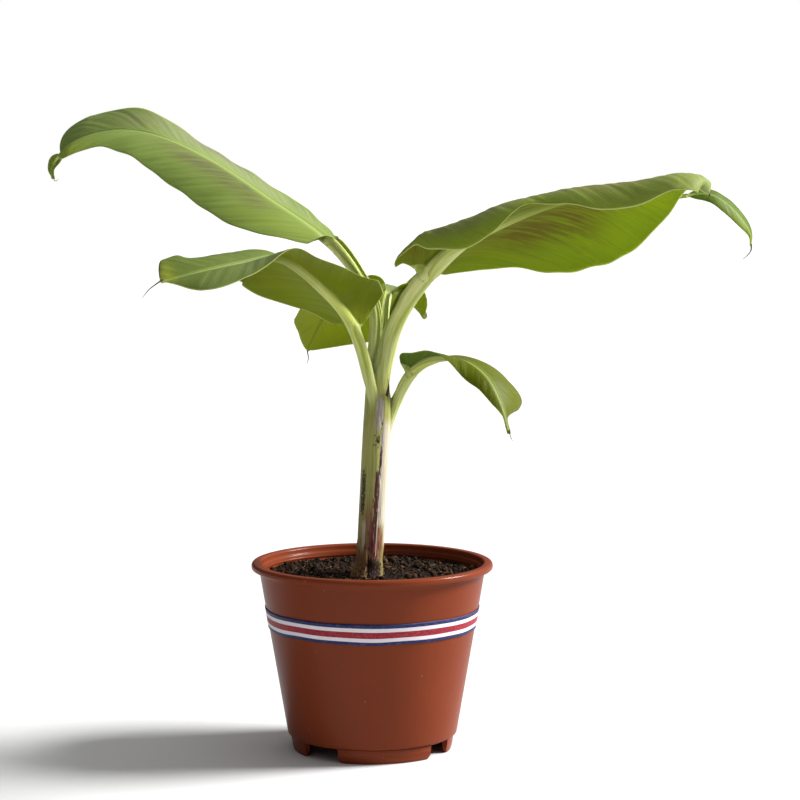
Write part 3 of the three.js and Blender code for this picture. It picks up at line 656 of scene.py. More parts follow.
def ribbon_material():
    """Five stripes across a fine ribbed weave; stripe holds place along and height as a share."""
    n = Nodes("striped_ribbon")
    run, rise, _ = n.attribute("stripe")
    ramp = n.node("ShaderNodeValToRGB", {"Fac": rise})
    navy, white, red = srgb(20, 30, 84), srgb(226, 220, 226), srgb(146, 18, 38)
    stops = ((0, navy), (.156, white), (.33, red), (.628, white), (.807, navy))
    ramp.color_ramp.interpolation = "CONSTANT"
    while len(ramp.color_ramp.elements) < len(stops):
        ramp.color_ramp.elements.new(1)
    for element, (place, colour) in zip(ramp.color_ramp.elements, stops):
        element.position = place
        element.color = colour
    ribs = n.ripple(run, .7)
    threads = n.ripple(rise, 1 / RIBBON_THREADS)
    wear = n.noise(n.stretched(run, .3, rise, 8), 1, 4, .65)
    body = n.mix(n.step(wear, .45, .75, 0, .14), ramp.outputs["Color"], srgb(190, 178, 180))
    # painted shade: a dark line along each rib of the weave
    body = n.mix(n.step(ribs, 0, 1, 0, .12), body, (.02, .02, .03, 1))
    weave = n.plus(ribs, n.times(threads, .5))
    return n.finish(body, n.step(wear, .3, .7, .42, .6), n.bump(weave, .00006, .6), Specular_IOR_Level=.25)


def mix_material(name, dark, brown, light):
    """Moist potting mix; tone holds each crumb's own shade."""
    n = Nodes(name)
    tone = n.number("tone")
    grain = n.noise(n.place(), 700, 5, .7)
    clumps = n.noise(n.place(), 120, 4, .6)
    body = n.mix(n.step(n.plus(tone, n.times(grain, .5)), .3, .9), dark, brown)
    body = n.mix(n.step(n.plus(tone, n.times(clumps, .3)), .95, 1.2), body, light)
    return n.finish(body, n.step(grain, .3, .7, .8, .98), n.bump(grain, .0006, .9), Specular_IOR_Level=.12)


def dry_material(name, colour, other):
    """Dried threads and shreds."""
    n = Nodes(name)
    grain = n.noise(n.place(), 300, 4, .6)
    return n.finish(n.mix(n.step(grain, .35, .65), colour, other), .7, n.bump(grain, .0003, .6))


# ------------------------------------------------------------------ pot
def wall_radius(z):
    """Outer radius of the sloping wall at heights z."""
    above_foot = np.asarray(z, float) - FOOT_HEIGHT
    return RADIUS_FOOT + (RADIUS_TOP - RADIUS_FOOT) * above_foot / (WALL_TOP - FOOT_HEIGHT)


def wall_points(heights, inset=0.0):
    """Points of the wall's section at some heights."""
    return [(float(wall_radius(z)) - inset, z) for z in heights]


def arc(centre_r, centre_z, radius_r, radius_z, start, end, count):
    """Points of an elliptical arc in the pot's section, angles in degrees from outwards."""
    a = np.radians(np.linspace(start, end, count))
    return [(centre_r + radius_r * math.cos(x), centre_z + radius_z * math.sin(x)) for x in a]


def turned(profile):
    """Rows of points round the axis, one for each point of a section, and the angles along a row."""
    profile = np.array(profile, float)
    a = np.linspace(0, 2 * math.pi, TURN_SEGMENTS, endpoint=False)
    ring = np.stack([np.cos(a), np.sin(a), np.zeros(TURN_SEGMENTS)], -1)
    points = profile[:, 0, None, None] * ring[None] + profile[:, 1, None, None] * np.array([0, 0, 1.0])
    return points, a


def pot_outer():
    """The section from the floor's underside, out and up the wall and over the rolled lip."""
    near, far = FLOOR_RINGS
    under = WALL_TOP + .2
    section = [(0.5, FLOOR_UNDER), (near, FLOOR_UNDER), (far, FLOOR_UNDER), (FOOT_RADIUS - 3, FLOOR_UNDER)]
    section += [(FOOT_RADIUS - .4, FLOOR_UNDER), (FOOT_RADIUS, FOOT_HEIGHT - 1.2)]
    section += [(FOOT_RADIUS, FOOT_HEIGHT - .7)]
    section += arc(RADIUS_FOOT - 1.1, FOOT_HEIGHT + .5, 1.1, 1.1, -90, 0, 5)
    section += wall_points(np.linspace(FOOT_HEIGHT + 2.5, WALL_TOP - 6, 22))
    section += wall_points([under - 4])
    section += [(float(wall_radius(under - 1)) + .15, under - .8), (RADIUS_TOP + .8, under + .1)]
    section += [(RADIUS_TOP + 2.2, under + .5), (LIP_RADIUS - 2.6, under + .4)]
    section += arc(LIP_RADIUS - 2.4, under + 2.1, 2.4, 1.8, -80, 0, 6)
    section += arc(LIP_RADIUS - 2.6, POT_HEIGHT - 2.6, 2.6, 2.6, 12, 90, 7)
    section += arc(LIP_RADIUS - LIP_WIDTH + 1.9, POT_HEIGHT - 1.9, 1.9, 1.9, 98, 180, 6)
    return section


def pot_inner():
    """The section from inside the lip, down the ridged inner wall and over the floor."""
    near, far = FLOOR_RINGS
    inner_top = LIP_RADIUS - LIP_WIDTH / 2 - LIP_WIDTH / 2
    section = [(inner_top - .1, POT_HEIGHT - 4.2), (inner_top - .5, POT_HEIGHT - 4.8)]
    section += [(inner_top - 1.5, POT_HEIGHT - 5.1)]
    for drop in INNER_RIDGES:
        z = POT_HEIGHT - drop
        r = float(wall_radius(z)) - WALL
        section += [(r + .1, z + 1.3), (r - .35, z + .8), (r - .55, z), (r - .35, z - .5), (r + .05, z - .8)]
    section += wall_points(np.linspace(POT_HEIGHT - 20, FOOT_HEIGHT + 5, 8), WALL)
    section += arc(RADIUS_FOOT - WALL - 3.2, FLOOR_TOP + 3.2, 3.2, 3.2, -10, -90, 4)
    section += [(far, FLOOR_TOP), (near, FLOOR_TOP), (0.5, FLOOR_TOP)]
    return section


def pot_shape():
    """Wall, rolled lip, ridged inner wall and floor as one turned section."""
    outer = pot_outer()
    points, angles = turned(outer + pot_inner())
    height = points[..., 2] + 0 * angles
    run = np.broadcast_to(angles * LIP_RADIUS, height.shape)
    inside = np.broadcast_to((np.arange(len(points)) >= len(outer))[:, None], height.shape)
    return ringed(points, wall=np.stack([run, height, inside], -1))


def foot_shape(start, end):
    """A stretch of the skirt under the floor, with rounded lower corners."""
    depth = FOOT_HEIGHT - 1.2
    corner = 4.5
    thick = 2.4
    face = FOOT_RADIUS - 2.05
    half = math.radians(end - start) / 2 * FOOT_RADIUS
    s = np.concatenate([-half + corner * (1 - np.cos(np.linspace(0, math.pi / 2, 12))),
                        np.linspace(-half + corner, half - corner, 40)[1:-1],
                        half - corner * (1 - np.cos(np.linspace(math.pi / 2, 0, 12)))])
    inset = np.clip(corner - (half - np.abs(s)), 0, corner)
    bottom = corner - np.sqrt(np.maximum(corner**2 - inset**2, 0))
    angle = math.radians((start + end) / 2) + s / FOOT_RADIUS
    section = []
    for share in np.linspace(0, 1, 9):
        z = depth + (bottom - depth) * share
        section.append((FOOT_RADIUS - .15 - 1.9 * ((depth - z) / depth) ** 2, z))
    for turn in np.radians((35, 90, 145)):
        section.append((face - thick / 2 * (1 - math.cos(turn)), bottom + .5 * (1 - math.sin(turn))))
    section[-3:] = [(r, np.maximum(z - .5, 0)) for r, z in section[-3:]]
    for share in np.linspace(1, 0, 7):
        z = depth + (bottom + .2 - depth) * share
        section.append((face - thick - .5 * (1 - share), z))
    rings = []
    for r, z in section:
        r = np.broadcast_to(r, s.shape)
        rings.append(np.stack([r * np.cos(angle), r * np.sin(angle), np.broadcast_to(z, s.shape)], -1))
    points = np.stack(rings, 1)
    height = points[..., 2]
    run = np.broadcast_to((angle * FOOT_RADIUS)[:, None], height.shape)
    return ringed(points, flip=True, wall=np.stack([run, height, np.zeros(height.shape)], -1))


def drill(piece):
    """Cuts the drain holes through the pot's floor."""
    bm = bmesh.new()
    for i in range(DRAINS):
        a = 2 * math.pi * (i + .5) / DRAINS
        made = bmesh.ops.create_cone(bm, cap_ends=True, segments=28, radius1=DRAIN_RADIUS * MM,
                                     radius2=DRAIN_RADIUS * MM, depth=8 * MM)
        at = (AXIS + np.array([DRAIN_RING * math.cos(a), DRAIN_RING * math.sin(a), FOOT_HEIGHT - .8])) * MM
        bmesh.ops.translate(bm, verts=made["verts"], vec=at)
    mesh = bpy.data.meshes.new("drill")
    bm.to_mesh(mesh)
    bm.free()
    cutter = bpy.data.objects.new("drill", mesh)
    bpy.context.scene.collection.objects.link(cutter)
    cut = piece.modifiers.new("drains", "BOOLEAN")
    cut.operation, cut.object, cut.solver = "DIFFERENCE", cutter, "EXACT"
    ready = piece.evaluated_get(bpy.context.evaluated_depsgraph_get())
    drilled = bpy.data.meshes.new_from_object(ready)
    piece.modifiers.clear()
    piece.data = drilled
    bpy.data.objects.remove(cutter)


def ribbon_shapes():
    """The band, a little wavy at its lower edge, and its free end lapped over at the back."""
    def strip(start, end, lift, tilt, seed):
        a = np.radians(np.linspace(start, end, int(abs(end - start) / 1.5) + 2))
        rise = np.linspace(0, 1, 13)[None]
        run = a[:, None] * RADIUS_TOP
        sag = .35 * waves(run, (47, 83, 131), seed) * (1 - rise) + .15 * waves(run, (61, 97), seed + 1) * rise
        z = BAND_LOW + (BAND_HIGH - BAND_LOW) * rise + sag
        outwards = .45 + lift + .12 * waves(run, (29, 53), seed + 2) * (1 - rise)
        middle = wall_radius(z) + outwards
        thick = .22 * np.ones_like(rise)
        lean = tilt * (rise - .5) * smooth(a, a[-1] - .02, a[-1])[:, None] / RADIUS_TOP
        sections = []
        for side in (1, -1):
            r = middle + side * thick
            sections.append(np.stack([r * np.cos(a[:, None] + lean), r * np.sin(a[:, None] + lean), z], -1))
        points = np.concatenate([sections[0], sections[1][:, ::-1]], 1)
        value = np.stack([np.broadcast_to(run, z.shape), np.broadcast_to(rise, z.shape), z * 0 + lift], -1)
        values = np.concatenate([value, value[:, ::-1]], 1)
        return ringed(points, flip=True, stripe=values)

    return [strip(96, 456, 0, 0, 5), strip(84, 97, .5, 9, 9)]


# ------------------------------------------------------------------ potting mix
STEM_CLEARANCE = 14


def mix_height(x, y):
    """Height of the uneven mix, heaped a little on the left and at the back on the right."""
    big = noise.fractal(Vector((x * .028, y * .028, 3.1)), 1.0, 2.0, 3)
    small = noise.fractal(Vector((x * .16, y * .16, 7.7)), .8, 2.0, 4)
    r = math.hypot(x, y)
    heap = 1.6 * math.exp(-((x + 45) ** 2 + (y - 10) ** 2) / 900)
    heap += 1.2 * math.exp(-((x - 40) ** 2 + (y - 30) ** 2) / 700)
    return MIX_TOP - .6 + 1.9 * big + .9 * small + heap + .9 * smooth(r, 60, 84)


def mix_bed():
    """The surface of the mix, with a skirt that goes down inside the pot."""
    spokes = 200
    edge = wall_radius(MIX_TOP) - WALL + .3
    radius = np.concatenate([np.linspace(0.5, 50, 40), np.linspace(51.5, edge, 34)])
    a = np.linspace(0, 2 * math.pi, spokes, endpoint=False)
    points = np.zeros((len(radius) + 1, spokes, 3))
    for i, r in enumerate(radius):
        for j, turn in enumerate(a):
            x, y = r * math.cos(turn), r * math.sin(turn)
            points[i, j] = x, y, mix_height(x, y)
    low = radius[-1] - 2
    points[-1] = np.stack([low * np.cos(a), low * np.sin(a), np.full(spokes, MIX_TOP - 12)], -1)
    return ringed(points, tone=np.full(len(points) * spokes, .25))


def lump_master():
    """Points and faces of the plain lump that every crumb is shaped from."""
    bm = bmesh.new()
    bmesh.ops.create_icosphere(bm, subdivisions=1, radius=1)
    points = np.array([v.co for v in bm.verts])
    faces = np.array([[v.index for v in f.verts] for f in bm.faces])
    bm.free()
    return points, faces


def scattered(count, reach=0.0):
    """Random places on the mix, clear of the stem."""
    places = []
    limit = float(wall_radius(MIX_TOP)) - WALL - 1.5
    while len(places) < count:
        x, y = random.uniform(-limit, limit), random.uniform(-limit, limit)
        if math.hypot(x, y) < limit - reach and math.hypot(x + 3, y) > STEM_CLEARANCE:
            places.append((x, y, mix_height(x, y)))
    return places


def crumb_shapes(count, small, large):
    """Irregular crumbs lying on the mix, all in one shape."""
    master, faces = lump_master()
    points, all_faces, tones = [], [], []
    for i, place in enumerate(scattered(count)):
        size = small + (large - small) * random.random() ** 3
        stretch = rng.uniform(.55, 1.25, 3)
        turn = np.array(Euler(rng.uniform(0, 6.3, 3)).to_matrix())
        lump = master * rng.uniform(.72, 1.2, (len(master), 1)) * stretch * size
        points.append(lump @ turn.T + np.array(place) + [0, 0, size * rng.uniform(-.1, .6)])
        all_faces.append(faces + i * len(master))
        tones.append(np.full(len(master), rng.uniform(0, 1)))
    return Shape(np.concatenate(points), [np.concatenate(all_faces)], tone=np.concatenate(tones))


def fibre_shapes(count):
    """Root hairs and bark slivers lying on the mix."""
    made = []
    for x, y, _ in scattered(count, reach=6):
        length = 3 + 9 * random.random() ** 2
        turn = random.uniform(0, 2 * math.pi)
        bend = random.uniform(-1.2, 1.2)
        path = []
        for k in range(4):
            s = (k / 3 - .5) * length
            dx, dy = s * math.cos(turn + bend * k / 3), s * math.sin(turn + bend * k / 3)
            path.append((x + dx, y + dy, mix_height(x + dx, y + dy) + .3 + random.uniform(0, 1.3)))
        thick = random.uniform(.12, .42)
        made.append(tube(Line(path), (thick * .5, thick, thick * .7, thick * .2), sides=4,
                         squash=.6, tone=random.uniform(.2, 1.3)))
    return made


# ------------------------------------------------------------------ leaves
SECTION_STEPS = 60
SECTION_PLACES = (np.arange(SECTION_STEPS) + .5) / SECTION_STEPS
CHANNEL = 115 * SECTION_PLACES**.85  # how the stalk's channel turns up from its rib to its edge
JOIN = 4.0          # how far a blade's keel and its stalk run into each other, mm
JOIN_INSET = .12    # how much slimmer each is at its end inside the other, as a share
BLADE_THICK = .5
SHEATH_THICK = .55
KEEL_ROUND = .6
ROW_STEP = 1.3      # between rows of points along a blade
FREE_REACH = 1.2    # how sharply a margin's run forward grows outwards


def bent(angle):
    """Reach and lift of a half that turns by angles in radians, as shares of its width."""
    zero = np.zeros((len(angle), 1))
    return [np.concatenate([zero, np.cumsum(f(angle), 1)], 1) / SECTION_STEPS for f in (np.cos, np.sin)]


def least_width(radius):
    """Half width at which a blade or stalk still covers its rib."""
    return radius * 1.3 + .6


def keel_curve(x, width):
    """The rounded section of a keel, 1 at its middle and 0 from width outwards."""
    return np.clip(1 - (x / width) ** 2, 0, 1) ** KEEL_ROUND


def half_section(half, t, width, x, openness):
    """Lateral reach and lift of points x millimetres out along one half, row by row."""
    blade = spline(half["rise"], t)[:, None] + spline(half["curl"], t)[:, None] * SECTION_PLACES[None]
    reach, lift = bent(np.radians(openness[:, None] * blade + (1 - openness[:, None]) * CHANNEL[None]))
    s = np.clip(x / width[:, None], 0, 1) * SECTION_STEPS
    i = np.minimum(s.astype(int), SECTION_STEPS - 1)
    f = s - i
    row = np.arange(len(t))[:, None]
    at = [(1 - f) * g[row, i] + f * g[row, i + 1] for g in (reach, lift)]
    return at[0] * width[:, None], at[1] * width[:, None]


def leaf_shape(name, leaf, u, columns=(9, 22), tail=False, ruffle=0.0):
    """A closed stretch of blade at places u of its rib: a round keel under a thin blade, which opens
    out of the stalk's channel. The shape carries the values its material reads."""
    line = Line(leaf["rib"])
    base, tip = leaf["base"], leaf["tip"]
    t = (u - base) / (tip - base)
    blade_t = np.clip(t, 0, 1)
    openness = np.ones_like(t) if tail else smooth(t, *leaf.get("unfurl", (0, .06)))
    radius = spline(leaf["stalk"], np.minimum(u / leaf.get("rib_end", tip), 1)) / 2
    at, forward = line.at(u), line.forward(u)
    heading = math.radians(leaf["heading"])
    left = np.array([-math.sin(heading), math.cos(heading), 0.0])
    left = unit(left - (forward @ left)[:, None] * forward)
    up = np.cross(forward, left)
    roll = np.radians(spline(leaf.get("roll", (0, 0)), blade_t))[:, None]
    left, up = left * np.cos(roll) + up * np.sin(roll), up * np.cos(roll) - left * np.sin(roll)
    inner, outer = columns
    share = np.concatenate([np.linspace(0, 1, inner + 1), 1 + np.linspace(0, 1, outer + 1)[1:] ** .9])
    halves = []
    for side, half in ((1, leaf["left"]), (-1, leaf["right"])):
        opened = np.minimum(blade_t / half.get("shoulder", .1), 1)
        opening = np.sqrt(np.clip(1 - (1 - opened) ** 2, 0, 1))
        if "corner" in half:
            opening = np.maximum(opened, 0) ** half["corner"]
        tip_from, tip_power, tip_blunt = half.get("taper", leaf["taper"])
        beyond = np.clip((t - tip_from) / (1 - tip_from), 0, 1)
        width = spline(half["width"], blade_t) * opening * (1 - beyond**tip_power) ** tip_blunt
        width = np.maximum(width, least_width(radius))
        knee = np.minimum(1.6 * radius, .7 * width)[:, None]
        x = np.where(share[None] <= 1, share[None] * knee, knee + (share[None] - 1) * (width[:, None] - knee))
        lateral, lift = half_section(half, blade_t, width, x, openness)
        free = np.clip((x - 2 * radius[:, None]) / np.maximum(width - 2 * radius, 1)[:, None], 0, None)
        swept = (spline(half["sweep"], blade_t) * width)[:, None] * free**FREE_REACH * openness[:, None]
        ripple = ruffle * waves(u * line.length + 40 * side, (52, 34, 71), seed_of(name) + side)[:, None]
        ripple = ripple * (x / width[:, None]) ** 4 * smooth(t, .02, .15)[:, None] * smooth(t, 1, .9)[:, None]
        lift = lift + ripple
        points = at[:, None] + side * left[:, None] * lateral[..., None] + up[:, None] * lift[..., None]
        points = points + forward[:, None] * swept[..., None]
        run = 10 * (1 - np.exp(-x / 10)) + leaf["slant"] * x
        run = run + .14 * width[:, None] * (x / width[:, None]) ** 4
        halves.append((points, side * x, width[:, None] - x, (u * line.length)[:, None] + swept - run))
    surface, distance, margin, phase = both_halves(*halves)
    lengthwise = np.gradient(surface, axis=0)
    crosswise = -np.gradient(surface, axis=1)
    normal = unit(np.cross(lengthwise, crosswise))
    x = np.abs(distance)
    r, opened = radius[:, None], openness[:, None]
    keel_width = r * (1.5 - .45 * smooth(t, 0, .2)[:, None])
    keel = .85 * r * keel_curve(x, keel_width) + .1 * r * np.exp(-((x / (1.5 * r)) ** 2))
    groove = opened * .25 * r * np.exp(-((x / (.55 * r)) ** 2))
    spread = smooth(x / r, 1.2, 3)
    from_vein = (phase + VEIN_OFFSET) % VEIN_SPACING - VEIN_SPACING / 2
    ridge = np.exp(-(from_vein / .8) ** 2) * spread * smooth(margin, 0, 2)
    pleat = waves(phase, (13.0, 23.0, 9.5), seed_of(name)) * spread * smooth(margin, 0, 6)
    lift = (.16 * pleat) * opened
    inset = 1 - JOIN_INSET * smooth((base - u) * line.length, 0, JOIN)[:, None]
    keel = keel * inset
    edge = BLADE_THICK * (.35 + .65 * smooth(margin, 0, 1.5)) / 2 * inset
    above = surface + normal * (lift + edge - groove - .06 * ridge * opened)[..., None]
    below = surface + normal * (lift - edge - keel + .06 * ridge * opened)[..., None]
    faces = []
    for under in (0, 1):
        leaf_value = np.stack([phase, distance, margin], -1)
        rib_value = np.stack([x / r, np.broadcast_to(t[:, None], x.shape), np.full(x.shape, under)], -1)
        faces.append((leaf_value, rib_value, mark_values(leaf, t, distance, margin, under)))
    leaf_value, rib_value, marks = [round_sheet(a, b) for a, b in zip(*faces)]
    return thin_sheet(above, below, leaf=leaf_value, rib=rib_value, marks=marks)


def stem_at(z):
    """Centre and radius of the pseudostem at heights z."""
    return [np.interp(z, STEM[:, 2], STEM[:, k]) for k in (0, 1, 3)]


def stalk_shape(name, leaf):
    """A leaf's sheath and stalk: a thin wrap round the stem that gathers into a channelled stalk."""
    rows = 150
    columns = 26
    sheath = leaf["sheath"]
    azimuth = math.radians(sheath["azimuth"])
    heights = np.linspace(sheath["low"], sheath["top"], 6)
    x, y, r = stem_at(heights)
    lift = sheath["lift"] - 1.6 * smooth(heights, sheath["low"] + 16, sheath["low"])
    off = r + lift + .2
    foot = np.stack([x + off * math.cos(azimuth), y + off * math.sin(azimuth), heights], -1)
    line = Line(np.concatenate([foot, leaf["rib"][sheath["keep"]:]]))
    blade_line = Line(leaf["rib"])
    join = blade_line.at(leaf["base"])
    nearest = np.argmin(np.linalg.norm(line.points - join, axis=1))
    share = np.linspace(0, 1, rows)
    u = share * line.run[nearest] / line.length
    settle = smooth(share, .75, 1)
    at = line.at(u)
    at = at + (join - at[-1]) * settle[:, None]
    blade_forward = blade_line.forward(leaf["base"])
    forward = unit(line.forward(u) * (1 - settle[:, None]) + blade_forward * settle[:, None])
    turn = math.radians((leaf["heading"] - sheath["azimuth"] + 180) % 360 - 180)
    heading = azimuth + turn * smooth(share, .3, .9)
    left = np.stack([-np.sin(heading), np.cos(heading), 0 * heading], -1)
    left = unit(left - np.einsum("ij,ij->i", forward, left)[:, None] * forward)
    up = np.cross(forward, left)
    end_radius = float(spline(leaf["stalk"], leaf["base"] / leaf["tip"])) / 2
    radius = spline(sheath["thick"], share) * (1 - settle) + end_radius * settle
    free = smooth(share, *sheath["free"])
    halves = []
    place = np.linspace(0, SECTION_STEPS, columns + 1)
    for side, wing in ((1, sheath["left"]), (-1, sheath["right"])):
        wing = np.maximum(spline(wing, share), least_width(radius))
        width = wing * (1 - settle) + least_width(end_radius) * settle
        wrap = np.degrees(width / np.interp(share, (0, 1), (off[0], off[-1])))
        angle = (1 - free)[:, None] * wrap[:, None] * SECTION_PLACES + free[:, None] * CHANNEL
        x = np.linspace(0, 1, columns + 1)[None] * width[:, None]
        lateral, raised = [np.array([np.interp(place, np.arange(SECTION_STEPS + 1), row) for row in g])
                           * width[:, None] for g in bent(np.radians(angle))]
        points = at[:, None] + side * left[:, None] * lateral[..., None] + up[:, None] * raised[..., None]
        ragged = .5 * waves(share * line.length, (21, 13, 8), seed_of(name) + side)[:, None]
        points = points + forward[:, None] * (ragged * (x / width[:, None]) ** 3)[..., None]
        halves.append((points, side * x, width[:, None] - x))
    surface, distance, margin = both_halves(*halves)
    normal = unit(np.cross(np.gradient(surface, axis=0), -np.gradient(surface, axis=1)))
    x, r, gathered = np.abs(distance), radius[:, None], free[:, None]
    keel_width = r * 1.5 * gathered + (x + margin) * (1 - gathered)
    keel_height = r * .95 * gathered + .35 * (1 - gathered)
    inset = 1 - JOIN_INSET * smooth((1 - share) * line.run[nearest], JOIN, 0)[:, None]
    keel = keel_height * keel_curve(x, keel_width) * inset
    slanting = distance + .02 * share[:, None] * line.length
    fibres = .07 * waves(slanting, (2.6, 1.7, 4.1), 3) * smooth(margin, 0, 1) * smooth(share, 1, .9)[:, None]
    edge = SHEATH_THICK * (.45 + .55 * smooth(margin, 0, 1.2)) / 2 * smooth(share, 0, .05)[:, None] * inset
    above = surface + normal * edge[..., None]
    below = surface - normal * (edge + keel + fibres)[..., None]
    ahead_of_foot = leaf["base"] * blade_line.length - (1 - share) * line.run[nearest]
    leaf_value = np.stack([np.broadcast_to(ahead_of_foot[:, None], x.shape), distance, margin], -1)
    rib_value = [np.stack([x / r, np.broadcast_to(share[:, None], x.shape), np.full(x.shape, under)], -1)
                 for under in (0, 1)]
    stains, wraps, stem = trunk_marks(round_sheet(above, below).reshape(-1, 3))
    return thin_sheet(above, below, leaf=round_sheet(leaf_value, leaf_value), rib=round_sheet(*rib_value),
                      stains=stains, wraps=wraps, stem=stem,
                      gathered=np.concatenate([gathered + 0 * x] * 2, 1))


def seed_of(name):
    """A seed that differs from leaf to leaf."""
    return sum(ord(c) * (i + 1) for i, c in enumerate(name))


def mark_values(leaf, t, distance, margin, under):
    """How stained, glowing and dusty each point of a blade is, from the leaf's list of patches."""
    out = np.zeros(distance.shape + (3,))
    share = distance / np.maximum(np.abs(distance) + margin, 1)
    for kind, face, at_t, at_v, reach_t, reach_v, amount in leaf.get("patches", ()):
        if face not in (under, BOTH):
            continue
        near = ((t[:, None] - at_t) / reach_t) ** 2 + ((share - at_v) / reach_v) ** 2
        out[..., kind] += amount * np.exp(-near)
    return np.clip(out, 0, 1)


# the third kind of patch is a real dusting together with a painted grey sheen of sky light
STAIN, GLOW, DUST_AND_SHEEN = range(3)
UPPER, UNDER, BOTH = range(3)
# patches: what, which face, place along the blade and across it (1 is the left margin and -1 the
# right), their reaches, and how strong.
LEAVES["leaf_a"]["patches"] = (
    (STAIN, UPPER, .42, .25, .12, .2, .9), (STAIN, UPPER, .57, .3, .08, .2, .6),
    (DUST_AND_SHEEN, UPPER, .5, -.2, .3, .5, .4), (STAIN, UPPER, .28, .3, .06, .2, .45),
    (DUST_AND_SHEEN, UPPER, .3, -.5, .25, .4, .8), (STAIN, UPPER, .34, .1, .01, .05, 1),
    (STAIN, UPPER, .75, -.5, .1, .4, .5), (GLOW, UPPER, .93, .8, .08, .4, .8),
    (GLOW, UPPER, .15, .6, .2, .5, .3), (DUST_AND_SHEEN, UPPER, .6, -.8, .2, .4, .9),
    (STAIN, UPPER, .5, -.9, .15, .3, .9),
)
LEAVES["leaf_b"]["patches"] = (
    (STAIN, UNDER, .42, 0, .10, .8, .5), (DUST_AND_SHEEN, UPPER, .6, .5, .3, .6, .4),
    (GLOW, UPPER, .97, 0, .03, .8, .8), (GLOW, UNDER, .1, -.5, .3, .6, .3),
)
LEAVES["leaf_c"]["patches"] = (
    (GLOW, UNDER, .7, 0, .5, 1.2, 1), (DUST_AND_SHEEN, UPPER, .15, 0, .3, 1, .6),
)
LEAVES["leaf_d"]["patches"] = (
    (STAIN, UNDER, .34, .35, .16, .3, 1), (STAIN, UNDER, .55, .25, .16, .22, .9),
    (STAIN, UNDER, .1, -.5, .08, .3, .9), (STAIN, UNDER, .5, .6, .1, .2, .4),
    (GLOW, UNDER, .78, .6, .28, .6, 1), (GLOW, UNDER, .45, .9, .3, .35, .6),
    (DUST_AND_SHEEN, UPPER, .45, -.5, .3, .3, .9), (STAIN, UPPER, .5, -.5, .2, .25, .8),
    (STAIN, UPPER, .2, -.5, .12, .3, .8), (STAIN, UPPER, .75, -.4, .1, .25, .8),
    (DUST_AND_SHEEN, UPPER, .97, 0, .12, 1.5, .9), (GLOW, UPPER, .3, -.9, .3, .2, .6),
)
LEAVES["leaf_e"]["patches"] = (
    (DUST_AND_SHEEN, UPPER, .2, -.3, .1, .6, .4), (GLOW, UPPER, .75, 0, .3, 1.5, 1),
)
LEAVES["leaf_f"]["patches"] = (
    (GLOW, BOTH, .8, -.6, .4, .7, .9), (GLOW, UNDER, .8, 0, .4, 1, .7),
)

LEAF_COLOURS = {  # upper, under, glow
    "leaf_a": (srgb(116, 133, 64), srgb(100, 114, 40), srgb(138, 152, 44)),
    "leaf_b": (srgb(90, 104, 42), srgb(106, 116, 16), srgb(130, 136, 34)),
    "leaf_c": (srgb(108, 122, 62), srgb(124, 136, 14), srgb(140, 150, 12)),
    "leaf_d": (srgb(128, 144, 56), srgb(114, 126, 18), srgb(136, 154, 4)),
    "leaf_e": (srgb(84, 92, 10), srgb(86, 102, 34), srgb(80, 86, 0)),
    "leaf_f": (srgb(78, 98, 14), srgb(126, 146, 36), srgb(106, 122, 0)),
}
FILAMENTS = {  # the dry thread at each leaf's tip, from the tip, and its thickness
    "leaf_a": (((0, 0, 2), (.8, 0, -1.5), (3, 0, -1.2), (4, 0, .2)), .35),
    "leaf_b": (((2, 0, 2), (-4, 0, -2), (-9, 0, -6), (-14, 1, -12)), .5),
    "leaf_c": (((0, 0, 3), (0, 0, -2), (.6, 0, -6), (-.3, 0, -11)), .55),
    "leaf_d": (((0, 0, 2), (-.3, 0, -1), (-.8, 0, -3), (-2, 0, -5)), .45),
    "leaf_e": (((0, 0, 3), (.3, 0, -1), (1.2, 0, -3.5), (2.6, 0, -6)), .4),
    "leaf_f": (((0, 0, 2), (0, 0, -3), (-2.5, 0, -7), (-7, 0, -11)), .55),
}


def build_leaf(name, leaf, stalk_look, thread_look):
    """Makes a leaf's stalk, its blade with any tail, and the dry thread at its tip."""
    length = Line(leaf["rib"]).length
    upper, under, glow = LEAF_COLOURS[name]
    look = blade_material(f"{name}_blade", upper, under, srgb(*leaf["stain"]), glow, leaf["edge"])
    make(f"{name}_stalk", [stalk_shape(name, leaf)], [stalk_look], [f"{name}_petiole"])
    span = leaf["tip"] - leaf["base"]
    rows = int(span * length / ROW_STEP)
    blade_u = leaf["base"] + span * np.linspace(0, 1, rows)
    overlap = leaf["base"] - np.linspace(JOIN, 0, 5)[:-1] / length
    fine_base = leaf["base"] + span * np.linspace(0, .04, 10)
    fine_tip = leaf["base"] + span * (1 - .04 * np.linspace(1, 0, 12) ** 2)
    inside = blade_u[(blade_u > fine_base[-1]) & (blade_u < fine_tip[0])]
    blade_u = np.concatenate([overlap, fine_base, inside, fine_tip])
    shapes = [leaf_shape(name, leaf, blade_u, ruffle=.7)]
    replaced = [f"{name}_blade_inner", f"{name}_blade_outer"]
    if "tail" in leaf:
        tail = {**leaf, **leaf["tail"], "rib_end": leaf["tip"]}
        tail_span = tail["tip"] - tail["base"]
        tail_u = tail["base"] + tail_span * np.linspace(-.02, 1, 50)
        shapes.append(leaf_shape(name, tail, tail_u, columns=(4, 8), tail=True))
        replaced.append(f"{name}_tip")
    make(f"{name}_blade", shapes, [look], replaced)
    path, thick = FILAMENTS[name]
    tip = np.array(leaf["rib"][-1], float)
    radii = (thick * 1.6, thick, thick * .7, thick * .3)
    thread = tube(Line([tip + np.array(p) for p in path]), radii)
    make(f"{name}_thread", [thread], [thread_look])


